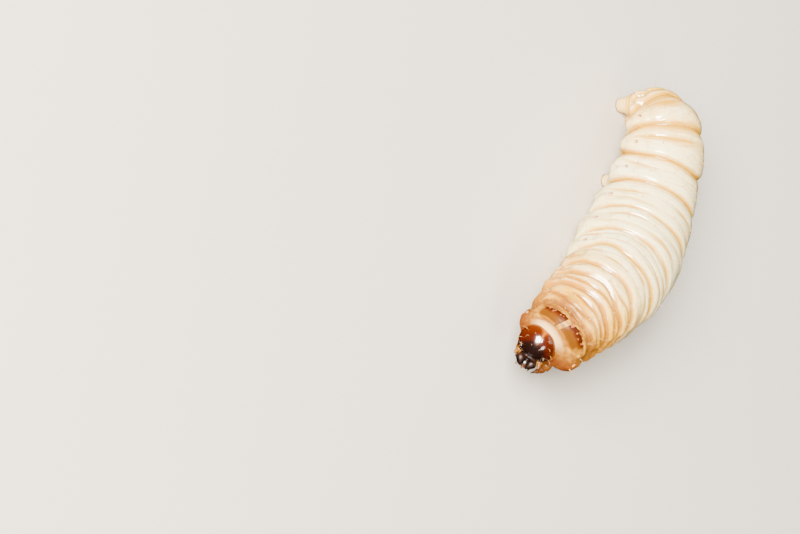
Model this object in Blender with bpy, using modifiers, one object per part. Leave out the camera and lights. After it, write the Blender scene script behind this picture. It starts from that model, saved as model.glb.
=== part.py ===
"""Larva of the greater wax moth, still and life size, with its front raised and turned aside.

The head faces -Y and the tail end +Y, +Z is up, and the soles of the feet stand on z = 0.
The animal's left side is at +X. Lengths below are in millimetres.
"""

import math

import bmesh
import bpy
import numpy as np
from mathutils import Matrix, Vector

MM = 0.001

# Body rings from front to rear: name, length along the body, half width at its middle
RINGS = (
    ("prothorax", 1.24, 1.73),
    ("mesothorax", 1.27, 1.95),
    ("metathorax", 0.92, 2.12),
    ("abdomen_1", 0.92, 2.27),
    ("abdomen_2", 1.63, 2.43),
    ("abdomen_3", 1.70, 2.66),
    ("abdomen_4", 2.49, 2.84),
    ("abdomen_5", 2.52, 2.68),
    ("abdomen_6", 1.93, 2.42),
    ("abdomen_7", 1.76, 2.27),
    ("abdomen_8", 1.18, 2.01),
    ("abdomen_9", 0.64, 1.64),
    ("abdomen_10", 0.90, 1.22),
)
NECK_HALF_WIDTH = 1.50
TAIL_HALF_WIDTH = 0.95
RING_ENDS = np.concatenate([[0.0], np.cumsum([length for _, length, _ in RINGS])])
BODY_LENGTH = float(RING_ENDS[-1])
RING_GAP = 0.2
SMALL_GAP = 0.1

# The pose: how far the body's line turns from -Y to the animal's right, in degrees
BENDS = (
    (0.0, 33), (1.2, 28.5), (2.5, 31), (4.0, 36), (6.0, 35), (8.0, 26.5), (10.0, 16), (12.0, 3),
    (14.0, -4.5), (16.0, -14.5), (17.2, -12), (18.1, 2), (19.1, 18),
)
# The heights of the body's middle line, and how far its back leans to the animal's left, in degrees
HEIGHTS = (
    (0.0, 3.33), (2.0, 3.53), (4.0, 3.59), (6.0, 3.41), (8.0, 3.02), (10.0, 2.73), (12.0, 2.61),
    (14.0, 2.64), (16.0, 2.69), (16.8, 2.53), (17.6, 2.12), (18.4, 1.56), (19.1, 1.12),
)
LEANS = ((0.0, -36), (2.0, -31), (4.0, -25), (6.5, -17), (9.0, -9), (13.0, -3), (19.1, 0))
BACK_RISE = 0.97
TAIL_ROUND = 1.05
NECK_ROUND = 0.50
NECK_TUCK = 0.30
AXIS_STEP = 0.05
AXIS_REACH = 0.3

# Folds and swellings of the skin
FOLD_DEPTH = 0.19
FOLD_SHARE = 0.14
CREASE_DEPTH = 0.08
CREASE_WIDTH = 0.10
CREASE_SHARE = 0.62
CREASE_REACH = math.radians(105)
LOBE_HEIGHT = 0.16
LOBE_ANGLE = math.radians(112)
LOBE_SPREAD = math.radians(15)
BELLY_FLATTENING = 0.10
RING_SIDES = 28
RING_ROWS = (0.0, 0.08, 0.22, 0.42, 0.56, 0.62, 0.68, 0.80, 0.92, 1.0)

# Head: a capsule of two round cheeks, turned and tipped down
HEAD_HALF_WIDTH = 1.00
HEAD_HALF_LENGTH = 1.02
HEAD_HALF_HEIGHT = 1.03
HEAD_TURN = math.radians(22)
HEAD_TIP = math.radians(-2)
HEAD_LEAN = math.radians(-43)
HEAD_FORWARD = 0.09
HEAD_DROP = 0.33
HEAD_ASIDE = 0.09
HEAD_SIDES = 26
HEAD_ROWS = 18
NECK_BLOCK = 4.0
HEAD_GROOVE = 0.10
CHEEK_SWELL = 0.09
MUZZLE_TAPER = 0.22

# Mouthparts, feelers and eyes, in head coordinates: +X to its right, +Y forward, +Z up
LABRUM_MIDDLE = (0.0, 1.06, -0.04)
LABRUM_HALF_SIZES = (0.42, 0.14, 0.23)
LABRUM_TILT = math.radians(25)
JAW_MIDDLE = (0.31, 1.02, -0.42)
JAW_HALF_SIZES = (0.25, 0.32, 0.23)
JAW_TILT = math.radians(35)
LABIUM_MIDDLE = (0.0, 0.70, -0.84)
LABIUM_HALF_SIZES = (0.32, 0.32, 0.17)
LABIUM_TILT = math.radians(30)
MAXILLA_MIDDLE = (0.31, 0.74, -0.80)
MAXILLA_HALF_SIZES = (0.15, 0.26, 0.15)
SPINNERET_ENDS = ((0.0, 0.76, -0.84), (0.0, 1.05, -1.04))
PALP_ENDS = ((0.31, 0.76, -0.82), (0.34, 1.08, -0.96))
PALP_RADII = ((0.0, 0.10), (0.5, 0.09), (0.6, 0.06), (1.0, 0.04))
LUMP_SIDES = 12
LUMP_ROWS = 8
STUB_SIDES = 10
STUB_ROWS = 6
ANTENNA_ENDS = ((0.56, 0.60, -0.32), (0.72, 1.04, -0.44))
ANTENNA_RADII = ((0.0, 0.17), (0.45, 0.16), (0.5, 0.11), (0.78, 0.10), (0.82, 0.06), (1.0, 0.04))
EYE_MIDDLE = (0.78, 0.64, -0.13)
EYE_BEADS = 4
EYE_BEAD_RADIUS = 0.065
EYE_BEAD_LIFT = 0.02
EYE_ARC_RADIUS = 0.15
EYE_ARC_START = math.radians(-75)
EYE_ARC_STEP = math.radians(60)
EYE_PATCH_MARGIN = 0.04
EYE_PATCH_DEPTH = 0.06
EYE_PATCH_SIDES = 12
EYE_BEAD_SIDES = 6
EYE_ROWS = 4

# Neck shield: two horny plates let into the top of the first ring
SHIELD_INNER_ANGLE = math.radians(5)
SHIELD_OUTER_ANGLE = math.radians(62)
SHIELD_FRONT = 0.24
SHIELD_REAR = 0.86
SHIELD_THICKNESS = 0.16
SHIELD_PROUD = 0.03
PLATE_COLUMNS = 8
PLATE_ROWS = 6
PLATE_FRONT_CUT = 0.12
PLATE_LENGTH_CUT = 0.34
PLATE_CUT_POWER = 3

# Tail plate on the last ring
TAIL_PLATE_ANGLE = math.radians(42)
TAIL_PLATE_FRONT = 0.30
TAIL_PLATE_REAR = 0.72
TAIL_PLATE_THICKNESS = 0.12

# Breathing holes: low oval rims on both sides of the first ring and of the first eight rings behind
SPIRACLE_ANGLE = math.radians(91)
SPIRACLE_SHARE = 0.40
SPIRACLE_HALF_SIZES = (0.11, 0.16, 0.08)
SPIRACLE_RINGS = (0, 3, 4, 5, 6, 7, 8, 9, 10)
SPIRACLE_SIDES = 8
SPIRACLE_ROWS = 4

# True legs, one pair on each of the three front rings
LEG_ANGLE = math.radians(148)
LEG_RADII = (
    (0.0, 0.32), (0.30, 0.31), (0.36, 0.26), (0.58, 0.24), (0.64, 0.19), (0.84, 0.15), (0.90, 0.11),
    (1.0, 0.07),
)
LEG_KNEE = (0.52, 0.12, 0.10)
LEG_TIP = (0.66, -0.22, 0.72)
LEG_ROOT_SINK = 0.5
LEG_SIDES = 10
LEG_ROWS = 10
LIMB_REACH = 0.05

# Fleshy feet under the third to the sixth ring of the abdomen, and the pair at the tail
PROLEG_RINGS = (5, 6, 7, 8)
PROLEG_ANGLE = math.radians(161)
PROLEG_RADII = ((0.0, 0.52), (0.45, 0.45), (0.72, 0.34), (0.86, 0.37), (0.95, 0.35), (1.0, 0.30))
PROLEG_SPLAY = -0.12
TAIL_FOOT_ANGLE = math.radians(149)
TAIL_FOOT_SHARE = 0.42
TAIL_FOOT_REACH = 0.15
TAIL_FOOT_SPLAY = 0.05
FOOT_SIDES = 14
FOOT_ROWS = 8

COLLECTION_NAME = "Wax_moth_larva"


# Curves and places

def smooth(table, at):
    """The value at a place, on a smooth curve through the table's (place, value) pairs."""
    places, values = np.array(table, float).T
    slopes = np.gradient(values, places)
    at = min(max(at, places[0]), places[-1])
    i = int(np.clip(np.searchsorted(places, at) - 1, 0, len(places) - 2))
    width = places[i + 1] - places[i]
    t = (at - places[i]) / width
    start = (1 + 2 * t) * values[i] + t * width * slopes[i]
    end = (3 - 2 * t) * values[i + 1] + (t - 1) * width * slopes[i + 1]
    return float((1 - t) ** 2 * start + t ** 2 * end)


def bell(distance, width):
    return math.exp(-((distance / width) ** 2))


def width_table():
    middles = (RING_ENDS[:-1] + RING_ENDS[1:]) / 2
    inner = [(middle, half) for middle, (_, _, half) in zip(middles, RINGS)]
    return [(0.0, NECK_HALF_WIDTH), *inner, (BODY_LENGTH, TAIL_HALF_WIDTH)]


WIDTHS = width_table()


def half_width(s):
    """Half the body's width at a station, rounded off at the neck and over the tail end."""
    over = max(0.0, s - (BODY_LENGTH - TAIL_ROUND)) / TAIL_ROUND
    neck = 1 - NECK_TUCK * max(0.0, 1 - s / NECK_ROUND) ** 3
    return smooth(WIDTHS, s) * neck * math.sqrt(max(0.03, 1 - min(over, 1.0) ** 2.4))


def lay_axis():
    """Points of the body's middle line, one every AXIS_STEP, from the neck to the tail."""
    stations = np.arange(0, BODY_LENGTH + AXIS_STEP / 2, AXIS_STEP)
    z = np.array([smooth(HEIGHTS, s) for s in stations])
    level = np.sqrt(AXIS_STEP ** 2 - np.diff(z) ** 2)
    turns = np.radians([smooth(BENDS, s) for s in stations])
    turns = (turns[1:] + turns[:-1]) / 2
    x = np.concatenate([[0], np.cumsum(np.sin(turns) * level)])
    y = np.concatenate([[0], np.cumsum(np.cos(turns) * level)])
    return stations, np.stack([x, y, z], 1)


AXIS_STATIONS, AXIS_POINTS = lay_axis()


def axis_point(s):
    return Vector([np.interp(s, AXIS_STATIONS, AXIS_POINTS[:, k]) for k in range(3)])


def axis_frame(s):
    """The middle of the body at a station, with its left, its up and its tailward direction."""
    near, far = max(s - AXIS_REACH, 0.0), min(s + AXIS_REACH, BODY_LENGTH)
    tailward = (axis_point(far) - axis_point(near)).normalized()
    level = tailward.cross(Vector((0, 0, 1))).normalized()
    left = Matrix.Rotation(math.radians(smooth(LEANS, s)), 3, tailward) @ level
    return axis_point(s), left, left.cross(tailward), tailward


def skin_radius(s, angle):
    """Distance of the skin from the body's middle line. The angle is 0 on the back."""
    ring = int(np.clip(np.searchsorted(RING_ENDS, s) - 1, 0, len(RINGS) - 1))
    start, end = RING_ENDS[ring], RING_ENDS[ring + 1]
    share = (s - start) / (end - start)
    fold = bell(share, FOLD_SHARE) * (ring > 0) + bell(1 - share, FOLD_SHARE) * (ring < len(RINGS) - 1)
    crease = bell(s - start - CREASE_SHARE * (end - start), CREASE_WIDTH)
    crease *= 1 / (1 + math.exp((abs(angle) - CREASE_REACH) * 12))
    lobe = bell(abs(angle) - LOBE_ANGLE, LOBE_SPREAD) * max(0.0, math.sin(math.pi * share))
    belly = max(0.0, -math.cos(angle)) ** 2 * BELLY_FLATTENING
    return half_width(s) * (1 - belly) - FOLD_DEPTH * fold - CREASE_DEPTH * crease + LOBE_HEIGHT * lobe


def skin_point(s, angle, lift=0.0):
    middle, left, up, _ = axis_frame(s)
    radius = skin_radius(s, angle) + lift
    return middle + left * radius * math.sin(angle) + up * radius * BACK_RISE * math.cos(angle)


# Materials

def finish(name, colour, roughness):
    material = bpy.data.materials.new(name)
    material.use_nodes = True
    shader = material.node_tree.nodes["Principled BSDF"]
    shader.inputs["Base Color"].default_value = (*colour, 1)
    shader.inputs["Roughness"].default_value = roughness
    shader.inputs["Metallic"].default_value = 0.0
    return material


# Meshes and objects

def add_object(name, mesh, material, collection):
    """Makes an object of a bmesh, with its faces turned outwards and its points in metres."""
    if mesh.calc_volume(signed=True) < 0:
        bmesh.ops.reverse_faces(mesh, faces=mesh.faces)
    bmesh.ops.scale(mesh, vec=(MM, MM, MM), verts=mesh.verts)
    data = bpy.data.meshes.new(name)
    mesh.to_mesh(data)
    mesh.free()
    data.materials.append(material)
    made = bpy.data.objects.new(name, data)
    collection.objects.link(made)
    return made


def tube_mesh(sides, rows, place):
    """A capped cylinder with each of its points moved to place(angle, row)."""
    mesh = bmesh.new()
    bmesh.ops.create_cone(mesh, cap_ends=True, segments=sides, radius1=1, radius2=1, depth=1)
    uprights = [edge for edge in mesh.edges if abs(edge.verts[0].co.z - edge.verts[1].co.z) > 0.5]
    bmesh.ops.subdivide_edges(mesh, edges=uprights, cuts=rows - 1, use_grid_fill=True)
    for point in mesh.verts:
        row = round((point.co.z + 0.5) * rows)
        point.co = place(math.atan2(point.co.x, point.co.y), row)
    return mesh


def ball_mesh(across, along, place):
    """A unit sphere with its poles at +Y and -Y, and each point moved to place(point)."""
    mesh = bmesh.new()
    turn = Matrix.Rotation(-math.pi / 2, 4, "X")
    bmesh.ops.create_uvsphere(mesh, u_segments=across, v_segments=along, radius=1, matrix=turn)
    for point in mesh.verts:
        point.co = place(point.co.copy())
    return mesh


def evaluated_mesh(source):
    graph = bpy.context.evaluated_depsgraph_get()
    return bpy.data.meshes.new_from_object(source.evaluated_get(graph))


def keep_largest(data):
    """Drops every closed surface of a mesh but the one with the most faces."""
    mesh = bmesh.new()
    mesh.from_mesh(data)
    left_over = set(mesh.faces)
    islands = []
    while left_over:
        front = [left_over.pop()]
        island = set(front)
        while front:
            for edge in front.pop().edges:
                fresh = [face for face in edge.link_faces if face not in island]
                island.update(fresh)
                front.extend(fresh)
        left_over -= island
        islands.append(island)
    largest = max(islands, key=len)
    bmesh.ops.delete(mesh, geom=[face for face in mesh.faces if face not in largest], context="FACES")
    mesh.to_mesh(data)
    mesh.free()


def combine(target, helpers, operation):
    """One Boolean of the target with all the helpers, applied, and the helpers removed."""
    group = bpy.data.collections.new("Helpers")
    bpy.context.scene.collection.children.link(group)
    for helper in helpers:
        for owner in helper.users_collection:
            owner.objects.unlink(helper)
        group.objects.link(helper)
        helper.hide_render = True
        helper.display_type = "WIRE"
    modifier = target.modifiers.new("Boolean", "BOOLEAN")
    modifier.operation = operation
    modifier.solver = "EXACT"
    modifier.operand_type = "COLLECTION"
    modifier.collection = group
    bpy.context.view_layer.update()
    shaped = evaluated_mesh(target)
    target.modifiers.clear()
    target.data = shaped
    keep_largest(shaped)
    for helper in helpers:
        bpy.data.objects.remove(helper)
    bpy.data.collections.remove(group)


def grown(source, gap):
    """An object of a mesh with its surface moved outwards by the gap, to cut room for it."""
    mesh = bmesh.new()
    mesh.from_mesh(source)
    mesh.normal_update()
    for point, normal in [(point, point.normal.copy()) for point in mesh.verts]:
        point.co += normal * gap * MM
    data = bpy.data.meshes.new("Room")
    mesh.to_mesh(data)
    mesh.free()
    room = bpy.data.objects.new("Room", data)
    bpy.context.scene.collection.objects.link(room)
    return room


def set_clear_of(target, others, gap):
    """Cuts the target back to the gap from the others' meshes."""
    combine(target, [grown(other, gap) for other in others], "DIFFERENCE")


# Body rings

def ring_mesh(index):
    start = RING_ENDS[index] + RING_GAP / 2 * (index > 0)
    end = RING_ENDS[index + 1] - RING_GAP / 2 * (index < len(RINGS) - 1)

    def place(angle, row):
        return skin_point(start + (end - start) * RING_ROWS[row], angle)

    return tube_mesh(RING_SIDES, len(RING_ROWS) - 1, place)


def spiracle(ring, side, material, collection):
    """A low oval rim, sunk to its middle in the skin and standing upright on it."""
    s = RING_ENDS[ring] + SPIRACLE_SHARE * (RING_ENDS[ring + 1] - RING_ENDS[ring])
    angle = side * SPIRACLE_ANGLE
    _, left, up, tailward = axis_frame(s)
    out = (left * math.sin(angle) + up * math.cos(angle)).normalized()
    upward = tailward.cross(out)
    root = skin_point(s, angle)
    along, high, proud = SPIRACLE_HALF_SIZES

    def place(point):
        return root + tailward * point.x * along + out * point.y * proud + upward * point.z * high

    return add_object("Spiracle", ball_mesh(SPIRACLE_SIDES, SPIRACLE_ROWS, place), material, collection)


def add_rings(skin, collection):
    rings = []
    for index, (name, _, _) in enumerate(RINGS):
        ring = add_object(name, ring_mesh(index), skin, collection)
        if index in SPIRACLE_RINGS:
            combine(ring, [spiracle(index, side, skin, collection) for side in (1, -1)], "UNION")
        rings.append(ring)
    return rings


# Head

def head_matrix():
    """Turns head coordinates, with +X to its right, +Y forward and +Z up, into body coordinates."""
    flat = Vector((-math.sin(HEAD_TURN), -math.cos(HEAD_TURN), 0))
    up = Vector((0, 0, 1))
    forward = flat * math.cos(HEAD_TIP) - up * math.sin(HEAD_TIP)
    crown = flat * math.sin(HEAD_TIP) + up * math.cos(HEAD_TIP)
    crown = Matrix.Rotation(HEAD_LEAN, 3, -forward) @ crown
    right = forward.cross(crown)
    middle, left, _, tailward = axis_frame(0.0)
    place = Matrix((right, forward, crown)).transposed().to_4x4()
    place.translation = middle - tailward * HEAD_FORWARD - up * HEAD_DROP - left * HEAD_ASIDE
    return place


HEAD = head_matrix()


def capsule_point(point):
    """A point of the unit sphere, moved to the head capsule's surface in head coordinates."""
    ahead = max(0.0, point.y) ** 2
    above = max(0.0, point.z)
    narrow = 1 - MUZZLE_TAPER * ahead
    cheek = 1 + CHEEK_SWELL * bell(abs(point.x) - 0.55, 0.3) * above
    groove = HEAD_GROOVE * bell(point.x, 0.14) * above ** 0.5 * (1 - ahead)
    x = point.x * HEAD_HALF_WIDTH * narrow * cheek
    y = point.y * HEAD_HALF_LENGTH
    z = point.z * HEAD_HALF_HEIGHT * narrow * cheek - groove
    return Vector((x, y, z))


def on_head(point):
    return HEAD @ point


def add_head(horn, collection):
    capsule = ball_mesh(HEAD_SIDES, HEAD_ROWS, lambda point: on_head(capsule_point(point)))
    head = add_object("head", capsule, horn, collection)
    middle, left, up, tailward = axis_frame(0.0)
    block = bmesh.new()
    turn = Matrix((left, tailward, up)).transposed().to_4x4()
    turn.translation = middle + tailward * (NECK_BLOCK / 2 - RING_GAP)
    bmesh.ops.create_cube(block, size=NECK_BLOCK, matrix=turn)
    combine(head, [add_object("Block", block, horn, collection)], "DIFFERENCE")
    return head


def on_side(place, side):
    """A place in head coordinates, mirrored to the given side."""
    return Vector((place[0] * side, place[1], place[2]))


def lump(name, middle, half_sizes, tilt, material, collection):
    """A rounded mouthpart in head coordinates, tipped down by the tilt."""
    turn = Matrix.Rotation(-tilt, 3, "X")

    def place(point):
        return on_head(Vector(middle) + turn @ Vector([c * h for c, h in zip(point, half_sizes)]))

    return add_object(name, ball_mesh(LUMP_SIDES, LUMP_ROWS, place), material, collection)


def stub(name, root, tip, side, radii, material, collection):
    """A round tapered piece in head coordinates, from its root to its tip, on the given side."""
    root, tip = on_side(root, side), on_side(tip, side)
    along = (tip - root).normalized()
    across = along.orthogonal().normalized()
    over = along.cross(across)

    def place(angle, row):
        share = row / STUB_ROWS
        middle = root + (tip - root) * share
        return on_head(middle + (across * math.sin(angle) + over * math.cos(angle)) * smooth(radii, share))

    return add_object(name, tube_mesh(STUB_SIDES, STUB_ROWS, place), material, collection)


def eye_cluster(name, side, material, collection):
    """Four small lenses on an arc, low on the cheek, joined by the dark patch that they stand on."""
    middle = Vector((side * EYE_MIDDLE[0], EYE_MIDDLE[1], EYE_MIDDLE[2]))
    out = middle.normalized()
    ahead = (Vector((0, 1, 0)) - out * out.y).normalized()
    above = out.cross(ahead) * side
    reach = EYE_ARC_RADIUS + EYE_PATCH_MARGIN

    def patch_place(point):
        local = (ahead * point.x + above * point.z) * reach
        return on_head(middle + local + out * point.y * EYE_PATCH_DEPTH)

    patch = add_object(name, ball_mesh(EYE_PATCH_SIDES, EYE_ROWS, patch_place), material, collection)
    beads = []
    for count in range(EYE_BEADS):
        turn = EYE_ARC_START + EYE_ARC_STEP * count
        offset = (ahead * math.cos(turn) + above * math.sin(turn)) * EYE_ARC_RADIUS

        def bead_place(point, offset=offset):
            return on_head(middle + offset + out * EYE_BEAD_LIFT + point * EYE_BEAD_RADIUS)

        beads.append(add_object("Bead", ball_mesh(EYE_BEAD_SIDES, EYE_ROWS, bead_place), material, collection))
    return patch, beads


def add_eyes(head, dark, collection):
    for side, name in ((-1, "eyes_left"), (1, "eyes_right")):
        patch, beads = eye_cluster(name, side, dark, collection)
        set_clear_of(head, [patch.data, *[bead.data for bead in beads]], SMALL_GAP)
        combine(patch, beads, "UNION")


def add_mouth(head, horn, dark, collection):
    """The upper lip, the jaws and the lower lip, each cut clear of the head and of those before it."""
    labrum = lump("labrum", LABRUM_MIDDLE, LABRUM_HALF_SIZES, LABRUM_TILT, dark, collection)
    whole = [head.data, labrum.data]
    set_clear_of(labrum, whole[:1], SMALL_GAP)
    for side, name in ((-1, "mandible_left"), (1, "mandible_right")):
        mandible = lump(name, on_side(JAW_MIDDLE, side), JAW_HALF_SIZES, JAW_TILT, dark, collection)
        jaw = mandible.data
        set_clear_of(mandible, whole[:2], SMALL_GAP)
        whole.append(jaw)
    labium = lump("labium", LABIUM_MIDDLE, LABIUM_HALF_SIZES, LABIUM_TILT, horn, collection)
    parts = [stub("Spinneret", *SPINNERET_ENDS, 1, PALP_RADII, horn, collection)]
    for side in (-1, 1):
        middle = on_side(MAXILLA_MIDDLE, side)
        parts.append(lump("Maxilla", middle, MAXILLA_HALF_SIZES, 0.0, horn, collection))
        parts.append(stub("Palp", *PALP_ENDS, side, PALP_RADII, horn, collection))
    combine(labium, parts, "UNION")
    set_clear_of(labium, whole, SMALL_GAP)


def add_antennae(head, horn, collection):
    for side, name in ((-1, "antenna_left"), (1, "antenna_right")):
        antenna = stub(name, *ANTENNA_ENDS, side, ANTENNA_RADII, horn, collection)
        set_clear_of(antenna, [head.data], SMALL_GAP)


# Plates

def plate(name, side_angles, stations, thickness, material, collection):
    """A curved horny plate over a patch of skin, as a grid made thick by Solidify."""
    mesh = bmesh.new()
    bmesh.ops.create_grid(mesh, x_segments=PLATE_COLUMNS, y_segments=PLATE_ROWS, size=0.5)
    (first, last), (front, rear) = side_angles, stations
    for point in mesh.verts:
        across, along = point.co.x + 0.5, point.co.y + 0.5
        angle = first + (last - first) * across
        corner = abs(angle / SHIELD_OUTER_ANGLE) ** PLATE_CUT_POWER
        s = front + PLATE_FRONT_CUT * corner + (rear - front - PLATE_LENGTH_CUT * corner) * along
        point.co = skin_point(s, angle, SHIELD_PROUD)
    made = add_object(name, mesh, material, collection)
    outward = sum((face.normal for face in made.data.polygons), Vector()).z > 0
    solidify = made.modifiers.new("Solidify", "SOLIDIFY")
    solidify.thickness = thickness * MM
    solidify.offset = -1 if outward else 1
    bpy.context.view_layer.update()
    shaped = evaluated_mesh(made)
    made.modifiers.clear()
    made.data = shaped
    return made


def add_plates(rings, horn, collection):
    stations = (SHIELD_FRONT, SHIELD_REAR)
    plates = []
    for side, name in ((1, "shield_left"), (-1, "shield_right")):
        angles = (side * SHIELD_INNER_ANGLE, side * SHIELD_OUTER_ANGLE)
        plates.append(plate(name, angles, stations, SHIELD_THICKNESS, horn, collection))
    set_clear_of(rings[0], [shield.data for shield in plates], SMALL_GAP)
    angles = (-TAIL_PLATE_ANGLE, TAIL_PLATE_ANGLE)
    tail_start = RING_ENDS[-2]
    stations = (tail_start + TAIL_PLATE_FRONT, tail_start + TAIL_PLATE_REAR)
    tail_plate = plate("anal_plate", angles, stations, TAIL_PLATE_THICKNESS, horn, collection)
    set_clear_of(rings[-1], [tail_plate.data], SMALL_GAP)


# Legs

def limb(name, root, knee, tip, radii, standing, sides, rows, material, collection):
    """A tapered limb on a curved line from its root over its knee. A standing one ends flat on z = 0."""
    def middle(share):
        return root * (1 - share) ** 2 + knee * 2 * share * (1 - share) + tip * share ** 2

    def place(angle, row):
        share = row / rows
        here = middle(share)
        along = (middle(min(share + LIMB_REACH, 1)) - middle(max(share - LIMB_REACH, 0))).normalized()
        if standing:
            along = along.lerp(Vector((0, 0, -1)), share ** 4).normalized()
        ahead = Vector((0, -1, 0))
        across = along.cross(ahead).normalized()
        over = across.cross(along)
        return here + (across * math.sin(angle) + over * math.cos(angle)) * smooth(radii, share)

    return add_object(name, tube_mesh(sides, rows, place), material, collection)


def add_legs(rings, horn, collection):
    for ring in range(3):
        s = (RING_ENDS[ring] + RING_ENDS[ring + 1]) / 2
        middle, left, up, tailward = axis_frame(s)
        for side, word in ((1, "left"), (-1, "right")):
            surface = skin_point(s, side * LEG_ANGLE)
            root = surface + (middle - surface).normalized() * LEG_ROOT_SINK
            axes = (-up, left * side, -tailward)
            knee = surface + sum((axis * size for axis, size in zip(axes, LEG_KNEE)), Vector())
            tip = surface + sum((axis * size for axis, size in zip(axes, LEG_TIP)), Vector())
            name = f"leg_{word}_{ring + 1}"
            leg = limb(name, root, knee, tip, LEG_RADII, False, LEG_SIDES, LEG_ROWS, horn, collection)
            set_clear_of(leg, [rings[ring].data], SMALL_GAP)


def add_feet(rings, skin, collection):
    places = [(ring, 0.5, PROLEG_ANGLE, PROLEG_SPLAY, 0.0, f"proleg_{{}}_{ring - 2}") for ring in PROLEG_RINGS]
    tail_place = (TAIL_FOOT_SHARE, TAIL_FOOT_ANGLE, TAIL_FOOT_SPLAY, TAIL_FOOT_REACH, "anal_proleg_{}")
    places.append((len(RINGS) - 1, *tail_place))
    for ring, share, angle, splay, reach, wording in places:
        s = RING_ENDS[ring] + share * (RING_ENDS[ring + 1] - RING_ENDS[ring])
        middle, left, _, tailward = axis_frame(s)
        for side, side_word in ((1, "left"), (-1, "right")):
            surface = skin_point(s, side * angle)
            root = surface + (middle - surface).normalized() * LEG_ROOT_SINK
            sole = surface + left * side * splay + tailward * reach
            sole.z = 0
            knee = (root + sole) / 2 + left * side * splay
            name = wording.format(side_word)
            foot = limb(name, root, knee, sole, PROLEG_RADII, True, FOOT_SIDES, FOOT_ROWS, skin, collection)
            set_clear_of(foot, [rings[ring].data], SMALL_GAP)


# Assembly

def clear_scene():
    for old in list(bpy.data.objects):
        bpy.data.objects.remove(old)


def centre_on_origin(objects):
    """Moves all the meshes together, so that the middle of their box stands over the origin."""
    points = np.array([point.co for made in objects for point in made.data.vertices])
    middle = (points.min(axis=0) + points.max(axis=0)) / 2
    shift = Matrix.Translation((-middle[0], -middle[1], 0))
    for made in objects:
        made.data.transform(shift)


def main():
    clear_scene()
    collection = bpy.data.collections.new(COLLECTION_NAME)
    bpy.context.scene.collection.children.link(collection)
    skin = finish("ivory_skin", (0.80, 0.66, 0.44), 0.38)
    amber = finish("amber_horn", (0.50, 0.20, 0.05), 0.30)
    chestnut = finish("chestnut_horn", (0.20, 0.04, 0.012), 0.22)
    dark = finish("black_horn", (0.02, 0.012, 0.01), 0.25)
    pale = finish("pale_horn", (0.62, 0.42, 0.18), 0.40)

    rings = add_rings(skin, collection)
    add_legs(rings, pale, collection)
    add_feet(rings, skin, collection)
    add_plates(rings, amber, collection)
    head = add_head(chestnut, collection)
    add_mouth(head, chestnut, dark, collection)
    add_antennae(head, pale, collection)
    add_eyes(head, dark, collection)

    parts = list(collection.objects)
    centre_on_origin(parts)
    for made in parts:
        made.data.shade_smooth()
        made.data.set_sharp_from_angle(angle=math.radians(40))


main()
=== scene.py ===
# %% [markdown]
# # A wax moth larva, life size
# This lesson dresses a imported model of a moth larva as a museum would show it: one living skin
# over the ringed body, a polished chestnut head, amber neck plates, small jointed legs, soft
# feet with hooks, and a few single hairs. The larva is about 20 mm long. Lengths in the cells
# are millimetres, because that is how a larva is measured, and they turn into Blender's metres
# only when a mesh is made.

import math

import bmesh
import bpy
import numpy as np
from mathutils import Matrix, Vector


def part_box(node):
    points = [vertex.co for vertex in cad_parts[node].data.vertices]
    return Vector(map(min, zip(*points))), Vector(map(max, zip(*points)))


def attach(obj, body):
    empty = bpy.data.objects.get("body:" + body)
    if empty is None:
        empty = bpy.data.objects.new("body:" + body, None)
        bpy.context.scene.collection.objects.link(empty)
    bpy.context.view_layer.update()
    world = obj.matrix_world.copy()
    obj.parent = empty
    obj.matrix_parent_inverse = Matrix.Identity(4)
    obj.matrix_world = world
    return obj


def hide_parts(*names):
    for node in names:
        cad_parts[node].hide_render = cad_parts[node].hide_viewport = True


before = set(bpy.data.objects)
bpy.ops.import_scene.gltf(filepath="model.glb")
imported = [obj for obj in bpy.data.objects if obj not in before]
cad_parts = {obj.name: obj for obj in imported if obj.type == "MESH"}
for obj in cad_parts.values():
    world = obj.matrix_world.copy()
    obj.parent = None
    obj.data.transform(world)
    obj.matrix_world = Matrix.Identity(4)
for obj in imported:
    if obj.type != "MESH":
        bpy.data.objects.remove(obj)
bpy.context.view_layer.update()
MM = 0.001
print("nodes in the frame:", len(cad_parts))

# %% [markdown]
# ## The body's plan
# The body is thirteen soft rings on one bent line: three of the chest, which carry the jointed
# legs, and ten of the belly. The plan gives each ring's length and half width, the way the line
# turns and rises, and how far the back leans to one side where the larva twists its front. A
# plan like this could be drawn as a curve object. Tables with a smooth curve through them are
# chosen, because every later piece, from folds to hairs, is then placed by a station along the
# body and an angle round it.

# %% The rings and the pose
RINGS = (
    ("prothorax", 1.24, 1.73),
    ("mesothorax", 1.27, 1.95),
    ("metathorax", 0.92, 2.12),
    ("abdomen_1", 0.92, 2.27),
    ("abdomen_2", 1.63, 2.43),
    ("abdomen_3", 1.70, 2.66),
    ("abdomen_4", 2.49, 2.84),
    ("abdomen_5", 2.52, 2.68),
    ("abdomen_6", 1.93, 2.42),
    ("abdomen_7", 1.76, 2.27),
    ("abdomen_8", 1.18, 2.01),
    ("abdomen_9", 0.64, 1.64),
    ("abdomen_10", 0.90, 1.22),
)
LENGTHS = np.array([length for _, length, _ in RINGS])
RING_ENDS = np.concatenate([[0.0], np.cumsum(LENGTHS)])
BODY_LENGTH = float(RING_ENDS[-1])
CHEST_RINGS = 3
NECK_HALF_WIDTH, TAIL_HALF_WIDTH = 1.50, 0.95
NECK_ROUND, NECK_TUCK, TAIL_ROUND = 0.50, 0.30, 1.05
TAIL_BLUNTNESS, TAIL_LEAST = 2.4, 0.03
BACK_RISE, BELLY_FLATTENING = 0.97, 0.10
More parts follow.
